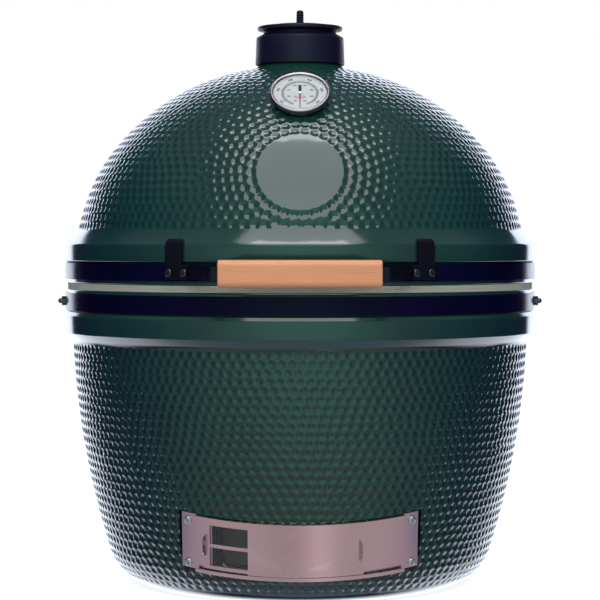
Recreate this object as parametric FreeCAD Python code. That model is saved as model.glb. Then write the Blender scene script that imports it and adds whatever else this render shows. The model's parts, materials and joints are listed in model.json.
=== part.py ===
import FreeCAD, Part
import math
import os

# A kamado grill: a thick ceramic bowl with a hinged ceramic dome.
# Millimetres and degrees. The origin is on the vertical axis at the floor, +Z is up and the front faces -Y.

V = FreeCAD.Vector
os.makedirs("parts", exist_ok=True)

# ---------------------------------------------------------------- driving dimensions
# Base bowl
foot_corner_r = 262.5
foot_round = 75.0
base_wall_mid = (310.0, 168.5)
base_wall_top = (332.5, 350.0)
base_floor = 24.0
draft_hole_half_width = 105.0
draft_hole_corner = 9.0
base_inner_foot_r = 252.0
base_inner_mid = (290.5, 168.5)
base_inner_top = (311.0, 350.0)
bead_r = 346.0
bead_root_z = 358.0
bead_low_z = 368.0
bead_high_z = 393.2
bead_top_z = 400.1
land_r = 341.0
mouth_r = 311.0
base_top = 430.7

# Felt gaskets between base and lid
gasket_t = 4.4
gasket_gap = 0.2
gasket_in = 314.0
gasket_out = 340.0
lid_bottom = base_top + 2 * gasket_t + gasket_gap

# Lid dome: two arcs that meet in a tangent, then the chimney neck
dome_wall = 19.0
dome_low_centre = (60.8, 468.1)
dome_low_r = 268.4
dome_high_centre = (21.5, 436.4)
dome_high_r = 318.8
dome_start = 10.06
dome_change = 38.96
lid_rim_r = 345.5
lid_rim_low = 471.5
lid_rim_high = 495.0
neck_r = 60.0
neck_bore = 42.0
neck_top = 783.0

# Clamping bands
band_in = 341.3
band_out = 344.0
base_band_z = (400.8, 425.9)
lid_band_z = (445.5, 468.6)
band_split = 20.0
ear_out = 364.0
ear_t = 4.0
clamp_bolt_r = 3.0
clamp_y = 355.0
clamp_hex = 10.0
stud_r = 2.9
stud_out = 6.0
stud_angle = 82.0
acorn_hex = 11.4
acorn_r = 3.9

# Rear hinge, with a lever bar behind the pin that two springs pull down
hinge_y = 378.0
hinge_z = 435.1
pin_r = 6.0
pin_clearance = 0.05
eye_r = 13.0
plate_t = 4.0
base_ear_x = 88.0
lid_ear_x = 81.0
lever_length = 30.0
lever_angle = 36.0
bar_r = 5.0
bar_y = hinge_y + lever_length * math.cos(math.radians(lever_angle))
bar_z = hinge_z + lever_length * math.sin(math.radians(lever_angle))
spring_x = 45.0
spring_r = 11.0
spring_wire_r = 2.2
spring_bottom = 350.0
spring_top = 437.0
spring_turns = 16
shelf_z = 326.0
shelf_y = (-16.0, 18.0)
bracket_gap = 22.0
hinge_hex = 18.0
eye_bolt_r = 4.0
eye_head_r = 9.5
base_bolt_x = (36.0, 66.0)
lid_bolt_x = 52.0

# Front handle
grip_length = 214.0
grip_height = 36.6
grip_depth = 30.0
grip_y = -398.0
grip_z = 457.0
arm_start = (-149.0, -313.0)
arm_bend = (-118.0, -398.0)
tongue_end_x = -82.0
arm_t = 4.0
arm_height = 18.6
bracket_in = 344.2
bracket_out = 349.4
bracket_angles = (-31.2, -24.9)
tab_angles = (-31.2, -26.8)
bracket_bolt_angles = (-30.2, -26.4)
hook_corner = 4.0
band_bolt_r = 2.9
band_bolt_head_r = 5.6
grip_screw_x = tongue_end_x - 13.0
grip_screw_r = 2.0

# Chimney cap with damper plate and daisy wheel
cap_foot = (65.5, 758.0)
cap_shoulder = (64.0, 798.0)
cap_slope_top = 803.6
collar_r = 52.5
collar_top = 807.9
cap_socket_r = 62.0
cap_socket_top = 786.0
cap_bore = 42.0
damper_r = 62.2
damper_z = (808.2, 814.3)
damper_pivot_y = 47.2
damper_pivot_r = 3.0
daisy_r = 41.0
daisy_z = (814.6, 816.8)
petals = 6
petal_inner = 13.0
petal_outer = 36.0
petal_angle = 26.0
knob_r = 5.6
bolt_head_r = 6.0
bolt_head_t = 3.0
knob_top = 838.6
knob_ribs = 4
knob_rib_pitch = 3.4

# Thermometer on the front of the dome
dial_r = 41.6
dial_base = (210.0, 693.5)
dial_elevation = 45.8
case_back = 3.5
stem_r = 3.2
stem_length = 115.0

# Draft vent at the foot: a sheet frame rolled about an axis that leans with the wall
vent_tilt = 15.5
vent_z = 79.5
vent_r = 298.9
seat_r = 297.6
vent_half_height = 41.2
vent_end = 32.6
rail_end = 28.0
screen_r = (299.8, 300.8)
draft_r = (301.6, 302.8)
door_half_height = 39.2
lip_r = (303.5, 304.8)
window_height = 29.0
vent_screw_angle = 30.6
vent_screw_v = 31.0
screen_window = (2.6, 29.5)
screen_border = (1.9, 2.5)
screen_angles = (-26.0, -0.5)
draft_angles = (-13.5, 16.6)

# Inner ceramics and grates
firebox_foot_r = 192.0
firebox_mid = (238.0, 150.0)
firebox_top = (283.0, 300.0)
firebox_wall = 18.0
firebox_floor = 44.0
ash_r = 168.0
ledge_z = 120.0
ledge_r = 200.0
ledge_width = 14.0
ring_z = (300.4, 391.5)
ring_r = (264.0, 284.0)
arch_half_width = 72.0
arch_corner = 22.0
air_holes = 12
air_hole_r = 9.0
air_hole_z = 152.0
notch_r = 16.0
charcoal_r = 196.0
charcoal_t = 8.0
slot_pitch = 22.0
slot_width = 10.0
slot_rows = ((-160.0, -62.0), (-50.0, 50.0), (62.0, 160.0))
grate_r = 304.0
grate_rod_r = 2.75
grate_ring_rod_r = 4.0
grate_pitch = 16.0
grate_cross_rod_r = 3.4
grate_cross_y = 110.0


# ---------------------------------------------------------------- small helpers
def via(r, z):
    """A point that an arc passes through, on its way from the point before to the point after."""
    return ("via", r, z)


def outline(points):
    """Closed face in the XZ plane: straight edges, and an arc wherever a via point is given."""
    edges = []
    last = points[0]
    middle = None
    for point in points[1:] + [points[0]]:
        if point[0] == "via":
            middle = V(point[1], 0, point[2])
            continue
        start = V(last[0], 0, last[1])
        end = V(point[0], 0, point[1])
        if middle is None:
            edges.append(Part.LineSegment(start, end).toShape())
        else:
            edges.append(Part.Arc(start, middle, end).toShape())
        middle = None
        last = point
    return Part.Face(Part.Wire(edges))


def turned(points):
    """Solid of revolution about the vertical axis."""
    return outline(points).revolve(V(0, 0, 0), V(0, 0, 1), 360)


def tube(r_in, r_out, z0, z1):
    """Upright ring with square edges."""
    outer = Part.makeCylinder(r_out, z1 - z0, V(0, 0, z0))
    inner = Part.makeCylinder(r_in, z1 - z0 + 2, V(0, 0, z0 - 1))
    return outer.cut(inner)


def on_circle(r, angle, z=0.0):
    """Point at a plan angle counted from the front, positive to the right."""
    a = math.radians(angle)
    return V(r * math.sin(a), -r * math.cos(a), z)


def sector(r_in, r_out, a0, a1, z0, z1):
    """Curved plate between two plan angles counted from the front."""
    mid = (a0 + a1) / 2
    outer = Part.Arc(on_circle(r_out, a0), on_circle(r_out, mid), on_circle(r_out, a1)).toShape()
    inner = Part.Arc(on_circle(r_in, a1), on_circle(r_in, mid), on_circle(r_in, a0)).toShape()
    side_1 = Part.LineSegment(on_circle(r_out, a1), on_circle(r_in, a1)).toShape()
    side_0 = Part.LineSegment(on_circle(r_in, a0), on_circle(r_out, a0)).toShape()
    plate = Part.Face(Part.Wire([outer, side_1, inner, side_0])).extrude(V(0, 0, z1 - z0))
    plate.translate(V(0, 0, z0))
    return plate


def ring_edges(shape, r, z):
    """The full circles of a turned solid at radius r and height z."""
    found = []
    for edge in shape.Edges:
        if isinstance(edge.Curve, Part.Circle):
            centre = edge.Curve.Center
            on_axis = abs(centre.x) < 0.01 and abs(centre.y) < 0.01
            if on_axis and abs(edge.Curve.Radius - r) < 0.05 and abs(centre.z - z) < 0.05:
                found.append(edge)
    return found


def rounded(shape, r, z, radius):
    """Round the circular edge of a turned solid."""
    return shape.makeFillet(radius, ring_edges(shape, r, z))


def edges_along(shape, direction):
    """Straight edges that run along a direction."""
    found = []
    for edge in shape.Edges:
        if isinstance(edge.Curve, Part.Line):
            if abs(abs(edge.tangentAt(edge.FirstParameter).dot(direction)) - 1) < 1e-6:
                found.append(edge)
    return found


def box(x0, x1, y0, y1, z0, z1):
    return Part.makeBox(x1 - x0, y1 - y0, z1 - z0, V(x0, y0, z0))


def rod(r, start, end):
    """Round bar from one point to another."""
    return Part.makeCylinder(r, (end - start).Length, start, end - start)


def prism_x(points, x0, x1):
    """Plate in the YZ plane, from x0 to x1."""
    corners = [V(x0, y, z) for y, z in points]
    return Part.Face(Part.makePolygon(corners + corners[:1])).extrude(V(x1 - x0, 0, 0))


def hexagon(across_flats, height, base, axis):
    """Hexagonal nut or bolt head on a base point, with its corners chamfered."""
    corner = across_flats / math.sqrt(3)
    points = [V(corner * math.cos(math.radians(60 * i)), corner * math.sin(math.radians(60 * i)), 0)
              for i in range(7)]
    body = Part.Face(Part.makePolygon(points)).extrude(V(0, 0, height))
    cone_r = across_flats / 2
    trim = Part.makeCone(cone_r + height * 1.6, cone_r, height * 1.15)
    body = body.common(trim)
    body.Placement = FreeCAD.Placement(base, FreeCAD.Rotation(V(0, 0, 1), axis))
    return body


def joined(shapes):
    """One solid from overlapping ones, without leftover seams."""
    return shapes[0].fuse(shapes[1:]).removeSplitter()


def mirrored(shape):
    """The same piece on the other side of the grill."""
    return shape.mirror(V(0, 0, 0), V(1, 0, 0))


def both_sides(shape):
    return Part.makeCompound([shape, mirrored(shape)])


# ---------------------------------------------------------------- places on the dome and the vent
def dome_point(centre, radius, angle):
    a = math.radians(angle)
    return (centre[0] + radius * math.cos(a), centre[1] + radius * math.sin(a))


def angle_at(centre, radius, r):
    """Elevation angle at which an arc of the dome reaches plan radius r."""
    return math.degrees(math.acos((r - centre[0]) / radius))


dial_place = FreeCAD.Placement(V(0, -dial_base[0], dial_base[1]),
                               FreeCAD.Rotation(V(1, 0, 0), 90 - dial_elevation))
vent_axis_z = vent_z + vent_r * math.sin(math.radians(vent_tilt))
vent_place = FreeCAD.Placement(V(0, 0, vent_axis_z), FreeCAD.Rotation(V(1, 0, 0), vent_tilt))


def placed(shape, placement):
    moved = shape.copy()
    moved.Placement = placement.multiply(moved.Placement)
    return moved


# ---------------------------------------------------------------- base
def base_ceramic():
    body = turned([
        (0, 0), (foot_corner_r, 0), via(*base_wall_mid), base_wall_top,
        (bead_r - 10.5, bead_root_z), (bead_r - 0.6, bead_low_z), (bead_r, bead_low_z + 6),
        (bead_r, bead_high_z), (land_r, bead_top_z), (land_r, base_top), (mouth_r, base_top),
        base_inner_top, via(*base_inner_mid), (base_inner_foot_r, base_floor), (0, base_floor)])
    body = rounded(body, foot_corner_r, 0, foot_round)
    body = rounded(body, base_inner_foot_r, base_floor, 40)
    body = rounded(body, land_r, base_top, 2.5)
    body = rounded(body, mouth_r, base_top, 4)
    seat = sector(seat_r, vent_r + 30, -vent_end - 0.6, vent_end + 0.6,
                  -vent_half_height - 1, vent_half_height + 1)
    side = draft_hole_half_width
    hole = box(-side, side, -vent_r - 30, -200, -window_height, window_height)
    hole = hole.makeFillet(draft_hole_corner, edges_along(hole, V(0, 1, 0)))
    return body.cut(placed(seat, vent_place)).cut(placed(hole, vent_place))


def firebox():
    inner_top_r = firebox_top[0] - firebox_wall
    body = turned([
        (0, base_floor), (firebox_foot_r, base_floor), via(*firebox_mid), firebox_top,
        (inner_top_r, firebox_top[1]), via(firebox_mid[0] - firebox_wall + 13, 200), (ledge_r, ledge_z),
        (ledge_r - ledge_width, ledge_z), (ash_r, firebox_floor), (0, firebox_floor)])
    body = rounded(body, firebox_foot_r, base_floor, 8)
    arch = box(-arch_half_width, arch_half_width, -260, -120, firebox_floor, ledge_z - 10)
    upper = [e for e in edges_along(arch, V(0, 1, 0)) if e.CenterOfMass.z > firebox_floor + 1]
    arch = arch.makeFillet(arch_corner, upper)
    body = body.cut(arch)
    holes = []
    for i in range(air_holes):
        angle = (i + 0.5) * 360 / air_holes
        holes.append(rod(air_hole_r, on_circle(150, angle, air_hole_z), on_circle(300, angle, air_hole_z)))
    return body.cut(holes)


def fire_ring():
    ring = tube(ring_r[0], ring_r[1], ring_z[0], ring_z[1])
    ring = rounded(ring, ring_r[0], ring_z[1], 4)
    ring = rounded(ring, ring_r[1], ring_z[1], 4)
    inner, outer = ring_r[0] - 24, ring_r[1] + 26
    notches = [rod(notch_r, on_circle(inner, a, ring_z[0]), on_circle(outer, a, ring_z[0]))
               for a in (60, 180, 300)]
    return ring.cut(notches)


def charcoal_grate():
    top = ledge_z + charcoal_t
    disc = Part.makeCylinder(charcoal_r, charcoal_t, V(0, 0, ledge_z))
    slots = []
    half = slot_width / 2
    for i in range(-7, 8):
        x = i * slot_pitch
        reach = math.sqrt((charcoal_r - 14) ** 2 - x * x)
        for low, high in slot_rows:
            y0 = max(low, -reach)
            y1 = min(high, reach)
            if y1 - y0 > 2 * slot_width:
                slots.append(box(x - half, x + half, y0, y1, ledge_z - 1, top + 1))
    return disc.cut(slots)


def cooking_grate():
    ring_centre_r = grate_r - grate_ring_rod_r
    ring_z0 = ring_z[1] + 7.0
    rim = Part.makeTorus(ring_centre_r, grate_ring_rod_r, V(0, 0, ring_z0))
    rods = [rim]
    z = ring_z0 + 1.0
    count = int(ring_centre_r / grate_pitch)
    for i in range(-count, count + 1):
        x = i * grate_pitch
        half = math.sqrt(ring_centre_r ** 2 - x * x)
        rods.append(rod(grate_rod_r, V(x, -half, z), V(x, half, z)))
    cross_z = z - 4.4
    for y in (-grate_cross_y, grate_cross_y):
        half = math.sqrt(ring_centre_r ** 2 - y * y)
        rods.append(rod(grate_cross_rod_r, V(-half, y, cross_z), V(half, y, cross_z)))
    return rods[0].fuse(rods[1:])


def split_band(z0, z1):
    """Steel band, open at the back, with an outward ear at each end."""
    ring = tube(band_in, band_out, z0, z1)
    ring = ring.cut(box(-band_split / 2, band_split / 2, 300, 400, z0 - 1, z1 + 1))
    edge = band_split / 2
    root_y = band_out - 1.5
    ear = box(edge, edge + ear_t, root_y, ear_out, z0, z1)
    ear = ear.makeFillet(6, [e for e in edges_along(ear, V(1, 0, 0)) if e.CenterOfMass.y > clamp_y])
    bolt = rod(clamp_bolt_r, V(edge - 2, clamp_y, (z0 + z1) / 2), V(edge + 10, clamp_y, (z0 + z1) / 2))
    ear = ear.cut(bolt)
    return joined([ring, ear, mirrored(ear)])


def clamp_bolt(z):
    """Bolt across the split: a head on the left ear and a thread through the right one."""
    outside = band_split / 2 + ear_t
    head = hexagon(clamp_hex, 4.2, V(-outside, clamp_y, z), V(-1, 0, 0))
    shank = rod(clamp_bolt_r - 0.1, V(-outside - 1, clamp_y, z), V(outside + 9, clamp_y, z))
    return joined([head, shank])


def clamp_nut(z):
    outside = band_split / 2 + ear_t
    nut = hexagon(clamp_hex, 5.0, V(outside, clamp_y, z), V(1, 0, 0))
    return nut.cut(rod(clamp_bolt_r - 0.1, V(outside - 1, clamp_y, z), V(outside + 7, clamp_y, z)))


def beside(shape):
    """The same piece on both sides, turned from due right to where the side studs stand."""
    turned_piece = shape.copy()
    turned_piece.rotate(V(0, 0, 0), V(0, 0, 1), stud_angle - 90)
    return both_sides(turned_piece)


def base_band():
    band = split_band(*base_band_z)
    z = sum(base_band_z) / 2
    holes = [beside(rod(stud_r + 0.1, V(330, 0, z), V(360, 0, z)))]
    for x in base_bolt_x:
        for side in (-1, 1):
            holes.append(hinge_bolt_hole(side * x, z))
    return band.cut(holes)


def lid_band():
    band = split_band(*lid_band_z)
    z = sum(lid_band_z) / 2
    holes = [rod(1.5, V(s * 330, 0, z), V(s * 360, 0, z)) for s in (-1, 1)]
    for side in (-1, 1):
        holes.append(hinge_bolt_hole(side * lid_bolt_x, z))
        for angle in bracket_bolt_angles:
            holes.append(rod(3.0, on_circle(330, side * angle, z), on_circle(360, side * angle, z)))
    return band.cut(holes)


def base_band_studs():
    z = sum(base_band_z) / 2
    return beside(rod(stud_r, V(band_in, 0, z), V(band_out + stud_out, 0, z)))


def base_band_nuts():
    """Acorn nuts: a hexagon with a domed cap over the stud's end."""
    z = sum(base_band_z) / 2
    base = band_out + 0.1
    nut = hexagon(acorn_hex, 5.2, V(base, 0, z), V(1, 0, 0))
    cap = Part.makeCylinder(acorn_r, 2.4, V(base + 4.8, 0, z), V(1, 0, 0))
    dome = Part.makeSphere(acorn_r, V(base + 6.6, 0, z))
    nut = joined([nut, cap, dome.common(box(base + 6, base + 12, -6, 6, z - 6, z + 6))])
    return beside(nut.cut(rod(stud_r + 0.1, V(base - 1, 0, z), V(band_out + stud_out + 0.2, 0, z))))


# ---------------------------------------------------------------- rear hinge
def hinge_bolt_hole(x, z):
    return rod(band_bolt_r + 0.1, V(x, 310, z), V(x, 360, z))


def bracket_shell(half_width, z0, z1):
    """Plate that follows the band across the back of the grill, in two halves beside the band's ears."""
    plate = tube(bracket_in, bracket_out, z0, z1)
    keep = box(bracket_gap, half_width, 250, 360, z0, z1)
    return [plate.common(keep), plate.common(mirrored(keep))]


def base_hinge_bracket():
    z0 = base_band_z[0] + 0.6
    z1 = base_band_z[1] - 0.6
    z = (z0 + z1) / 2
    shells = bracket_shell(base_ear_x + plate_t, z0, z1)
    shelf_front = bar_y + shelf_y[0]
    shelf_back = bar_y + shelf_y[1]
    side = [(330, z0), (334, z1), (hinge_y - 6, hinge_z + eye_r - 2), (hinge_y + 6, hinge_z + eye_r - 2),
            (shelf_back, hinge_z - 14), (shelf_back, shelf_z), (shelf_front, shelf_z), (shelf_front, z0 - 22)]
    ear = prism_x(side, base_ear_x, base_ear_x + plate_t)
    ear = ear.cut(tube(200, bracket_in, z0 - 60, z1 + 40))
    ear = ear.cut(rod(pin_r, V(70, hinge_y, hinge_z), V(110, hinge_y, hinge_z)))
    shelf = box(-base_ear_x - 1, base_ear_x + 1, shelf_front, shelf_back, shelf_z, shelf_z + plate_t)
    body = joined(shells + [ear, mirrored(ear), shelf])
    holes = []
    for x in base_bolt_x:
        for side_sign in (-1, 1):
            holes.append(hinge_bolt_hole(side_sign * x, z))
    for side_sign in (-1, 1):
        holes.append(rod(eye_bolt_r + 0.1, V(side_sign * spring_x, bar_y, shelf_z - 1),
                         V(side_sign * spring_x, bar_y, shelf_z + 9)))
    return body.cut(holes)


def lid_hinge_bracket():
    z0 = lid_band_z[0] + 0.6
    z1 = lid_band_z[1] - 0.6
    z = (z0 + z1) / 2
    shells = bracket_shell(lid_ear_x + plate_t, z0, z1)
    side = [(334, z0), (334, z1), (356, z1), (bar_y - 3, bar_z + 9), (bar_y + 9, bar_z + 2),
            (bar_y + 6, bar_z - 8), (hinge_y + 9, hinge_z - 8), (hinge_y, hinge_z - eye_r + 1),
            (hinge_y - 9, hinge_z - 8), (350, z0)]
    ear = prism_x(side, lid_ear_x, lid_ear_x + plate_t)
    ear = ear.cut(tube(200, bracket_in, z0 - 60, z1 + 40))
    ear = ear.cut(rod(pin_r + pin_clearance, V(70, hinge_y, hinge_z), V(110, hinge_y, hinge_z)))
    ear = ear.cut(rod(bar_r, V(70, bar_y, bar_z), V(110, bar_y, bar_z)))
    bridge = box(-lid_ear_x - 1, lid_ear_x + 1, ear_out + 2.5, ear_out + 6.5, z1 - 16, z1 - 4)
    body = joined(shells + [ear, mirrored(ear), bridge])
    holes = [hinge_bolt_hole(side_sign * lid_bolt_x, z) for side_sign in (-1, 1)]
    return body.cut(holes)


def hinge_bolt(x, z):
    """Button-head bolt from the bracket through the band."""
    y_in = math.sqrt(band_in ** 2 - x * x)
    y_out = math.sqrt(bracket_out ** 2 - x * x)
    shank = rod(band_bolt_r, V(x, y_in + 0.4, z), V(x, y_out + 2, z))
    head = Part.makeCylinder(band_bolt_head_r, 3.2, V(x, y_out + 0.9, z), V(0, 1, 0))
    head = head.makeFillet(1.4, [e for e in head.Edges if e.CenterOfMass.y > y_out + 3.5])
    return joined([shank, head])


def base_hinge_bolts():
    z = sum(base_band_z) / 2
    bolts = [hinge_bolt(side * x, z) for x in base_bolt_x for side in (-1, 1)]
    return Part.makeCompound(bolts)


def lid_hinge_bolts():
    z = sum(lid_band_z) / 2
    return both_sides(hinge_bolt(lid_bolt_x, z))


def hinge_pin():
    outside = base_ear_x + plate_t
    shank = rod(pin_r, V(-outside - 2, hinge_y, hinge_z), V(outside + 11, hinge_y, hinge_z))
    head = hexagon(hinge_hex, 6.5, V(-outside, hinge_y, hinge_z), V(-1, 0, 0))
    return joined([shank, head])


def hinge_pin_nut():
    outside = base_ear_x + plate_t
    nut = hexagon(hinge_hex, 9, V(outside, hinge_y, hinge_z), V(1, 0, 0))
    return nut.cut(rod(pin_r, V(outside - 1, hinge_y, hinge_z), V(outside + 12, hinge_y, hinge_z)))


def lever_bar():
    reach = lid_ear_x + plate_t
    return rod(bar_r, V(-reach, bar_y, bar_z), V(reach, bar_y, bar_z))


def hinge_springs():
    """Two close-wound tension springs between the shelf's eyes and the lever bar."""
    pitch = (spring_top - spring_bottom) / spring_turns
    path = Part.makeHelix(pitch, spring_top - spring_bottom, spring_r)
    profile = Part.Wire([Part.makeCircle(spring_wire_r, V(spring_r, 0, 0), V(0, 1, 0))])
    coil = Part.Wire(path).makePipeShell([profile], True, True)
    coil.translate(V(spring_x, bar_y, spring_bottom))
    return both_sides(coil)


def spring_eyes():
    """Threaded eye bolts through the shelf, which carry the springs' lower ends."""
    low = rod(eye_bolt_r, V(spring_x, bar_y, shelf_z - 14), V(spring_x, bar_y, spring_bottom - 5))
    head = Part.makeCylinder(eye_head_r, 3, V(spring_x, bar_y, spring_bottom - 6))
    return both_sides(joined([low, head]))


def spring_nuts():
    nut = hexagon(13, 6, V(spring_x, bar_y, shelf_z), V(0, 0, -1))
    nut = nut.cut(rod(eye_bolt_r, V(spring_x, bar_y, shelf_z - 8), V(spring_x, bar_y, shelf_z + 1)))
    return both_sides(nut)


# ---------------------------------------------------------------- draft vent
def vent_corners():
    """Angle and height of the four screws in the vent's own frame."""
    return [(a, v) for a in (-vent_screw_angle, vent_screw_angle) for v in (-vent_screw_v, vent_screw_v)]


def vent_frame():
    """Curved sheet with a window on the left, a fixed panel on the right, end plates and two rails."""
    face = screen_r[0] - 0.5
    parts = [sector(seat_r + 0.2, face, -vent_end, vent_end, -vent_half_height + 2, vent_half_height),
             sector(seat_r + 0.2, face, -rail_end, rail_end, -vent_half_height, 0)]
    rail_edge = door_half_height + 0.5
    for low, high in ((-vent_half_height, -rail_edge), (rail_edge, vent_half_height)):
        parts.append(sector(seat_r + 0.2, lip_r[1], -rail_end, rail_end, low, high))
    for low, high in ((-vent_half_height, -door_half_height + 3), (door_half_height - 3, vent_half_height)):
        parts.append(sector(lip_r[0], lip_r[1], -rail_end, rail_end, low, high))
    body = joined(parts)
    window = sector(seat_r - 5, lip_r[1] + 5, -23.5, 0.5, -window_height, window_height)
    body = body.cut(window)
    screws = [rod(2.4, on_circle(280, a, v), on_circle(320, a, v))
              for a, v in vent_corners()]
    return placed(body.cut(screws), vent_place)


def vent_screws():
    """Pan-head screws at the four corners of the frame."""
    screws = []
    face = screen_r[0] - 0.5
    for a, v in vent_corners():
        out = on_circle(1, a)
        head = Part.makeCylinder(5.4, 3.6, on_circle(face + 0.15, a, v), out)
        tip = [e for e in head.Edges if e.CenterOfMass.distanceToPoint(on_circle(face + 3.75, a, v)) < 0.1]
        head = head.makeFillet(1.6, tip)
        shank = rod(2.3, on_circle(seat_r - 14, a, v), on_circle(face + 1, a, v))
        cross = joined([box(-0.7, 0.7, -4, 4, -1.5, 1.5), box(-4, 4, -0.7, 0.7, -1.5, 1.5)])
        cross.Placement = FreeCAD.Placement(on_circle(face + 3.4, a, v), FreeCAD.Rotation(V(0, 0, 1), out))
        screws.append(joined([head, shank]).cut(cross))
    return placed(Part.makeCompound(screws), vent_place)


def vent_screw_holes():
    holes = [rod(2.3, on_circle(seat_r - 14, a, v), on_circle(seat_r + 4, a, v))
             for a, v in vent_corners()]
    return [placed(hole, vent_place) for hole in holes]


def finger_tab(r, angle, side):
    """Small tab that stands out from a door's edge, to push it by."""
    a = math.radians(angle)
    tab = box(-0.6, 0.6, -7.5, 0.4, -15, 15)
    tab = tab.makeFillet(6, [e for e in edges_along(tab, V(1, 0, 0)) if e.CenterOfMass.y < -5])
    tab.rotate(V(0, 0, 0), V(0, 0, 1), angle + side * 18)
    tab.translate(V(r * math.sin(a), -r * math.cos(a), 0))
    return tab


def screen_door():
    r0, r1 = screen_r
    a0, a1 = screen_angles
    sheet = sector(r0, r1, a0, a1, -door_half_height, door_half_height)
    windows = []
    near, far = screen_window
    for low, high in ((-far, -near), (near, far)):
        windows.append(sector(r0 - 5, r1 + 5, a0 + screen_border[0], a1 - screen_border[1], low, high))
    tab = finger_tab(r1 - 0.2, a0 + 1.0, -1)
    return placed(joined([sheet.cut(windows), tab]), vent_place)


def screen_mesh():
    a0, a1 = screen_angles
    near, far = screen_window
    mesh = sector(screen_r[0], screen_r[0] + 0.4, a0 + screen_border[0], a1 - screen_border[1], -far, far)
    bar = sector(screen_r[0] - 1, screen_r[1] + 1, a0, a1, -near, near)
    return placed(mesh.cut(bar), vent_place)


def draft_door():
    r0, r1 = draft_r
    a0, a1 = draft_angles
    sheet = sector(r0, r1, a0, a1, -door_half_height, door_half_height)
    tab = finger_tab(r1 - 0.2, a1 - 1.2, 1)
    return placed(joined([sheet, tab]), vent_place)


# ---------------------------------------------------------------- lid
def lid_ceramic():
    neck_angle = angle_at(dome_high_centre, dome_high_r, neck_r)
    bore_angle = angle_at(dome_high_centre, dome_high_r - dome_wall, neck_bore)
    outer_low = dome_point(dome_low_centre, dome_low_r, dome_start)
    outer_change = dome_point(dome_low_centre, dome_low_r, dome_change)
    inner_low = dome_point(dome_low_centre, dome_low_r - dome_wall, dome_start)
    inner_change = dome_point(dome_low_centre, dome_low_r - dome_wall, dome_change)
    body = turned([
        (mouth_r + 1, lid_bottom), (land_r, lid_bottom), (land_r, lid_rim_low - 1.2),
        (lid_rim_r, lid_rim_low), (lid_rim_r, lid_rim_high), outer_low,
        via(*dome_point(dome_low_centre, dome_low_r, (dome_start + dome_change) / 2)), outer_change,
        via(*dome_point(dome_high_centre, dome_high_r, (dome_change + neck_angle) / 2)),
        dome_point(dome_high_centre, dome_high_r, neck_angle), (neck_r, neck_top), (neck_bore, neck_top),
        dome_point(dome_high_centre, dome_high_r - dome_wall, bore_angle),
        via(*dome_point(dome_high_centre, dome_high_r - dome_wall, (dome_change + bore_angle) / 2)),
        inner_change,
        via(*dome_point(dome_low_centre, dome_low_r - dome_wall, (dome_start + dome_change) / 2)),
        inner_low, (mouth_r + 1, lid_bottom + 22)])
    body = rounded(body, neck_r, dome_point(dome_high_centre, dome_high_r, neck_angle)[1], 10)
    body = rounded(body, neck_r, neck_top, 3)
    body = rounded(body, lid_rim_r, lid_rim_high, 5)
    body = rounded(body, land_r, lid_bottom, 2.5)
    stem_hole = Part.makeCylinder(stem_r + 1.3, 120, V(0, 0, -70))
    return body.cut(placed(stem_hole, dial_place))


def lid_band_rivets():
    z = sum(lid_band_z) / 2
    shank = rod(1.45, V(band_in, 0, z), V(band_out + 0.6, 0, z))
    head = Part.makeCylinder(2.6, 1.1, V(band_out + 0.1, 0, z), V(1, 0, 0))
    return both_sides(joined([shank, head]))


def handle_bracket():
    """Left bracket: plate on the band, hook over the rim, and a bent arm with a tongue for the grip."""
    z0 = grip_z - arm_height / 2
    z1 = grip_z + arm_height / 2
    plate = sector(bracket_in, bracket_out, bracket_angles[0], bracket_angles[1], z0, z1 + 1.5)
    low = lid_rim_r + 1.0
    high = low + 3.0
    lean = lid_rim_high - 2
    hook_outline = outline([
        (low, z1 - 2), (high, z1 - 2), (high, lean - 0.5), via(high - 1.5, lean + 4.5),
        (high - 7, lean + 10), (high - 9.5, lean + 8), via(low - 1, lean + 3), (low, lean - 2)])
    hook = hook_outline.revolve(V(0, 0, 0), V(0, 0, 1), tab_angles[1] - tab_angles[0])
    tip = [e for e in hook.Edges if e.CenterOfMass.z > lean + 7.9 and e.Length < 5]
    hook = hook.makeFillet(hook_corner, tip)
    hook.rotate(V(0, 0, 0), V(0, 0, 1), tab_angles[0] - 90)
    start = V(arm_start[0], arm_start[1], z0)
    bend = V(arm_bend[0], arm_bend[1], z0)
    end = V(tongue_end_x, arm_bend[1], z0)
    arm = bent_strip(start, bend, end, 7.0)
    return joined([plate, hook, arm])


def bent_strip(start, bend, end, bend_r):
    """Flat strip on edge: two straight runs joined by a tangent arc."""
    to_start = (start - bend).normalize()
    to_end = (end - bend).normalize()
    half = to_start.getAngle(to_end) / 2
    cut = bend_r / math.tan(half)
    p = bend + to_start * cut
    q = bend + to_end * cut
    bisector = (to_start + to_end).normalize()
    middle = bend + bisector * (bend_r / math.sin(half) - bend_r)
    path = Part.Wire([Part.LineSegment(start, p).toShape(), Part.Arc(p, middle, q).toShape(),
                      Part.LineSegment(q, end).toShape()])
    across = to_start.cross(V(0, 0, 1)) * (arm_t / 2)
    corners = [start - across, start + across, start + across + V(0, 0, arm_height),
               start - across + V(0, 0, arm_height)]
    profile = Part.makePolygon(corners + corners[:1])
    return path.makePipeShell([profile], True, False)


def handle_bracket_left():
    bolts = [rod(band_bolt_r + 0.1, on_circle(330, a, grip_z), on_circle(360, a, grip_z))
             for a in bracket_bolt_angles]
    screw = rod(grip_screw_r, V(grip_screw_x, grip_y - 20, grip_z), V(grip_screw_x, grip_y + 20, grip_z))
    return handle_bracket().cut(bolts + [screw])


def handle_bracket_right():
    return mirrored(handle_bracket_left())


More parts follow.
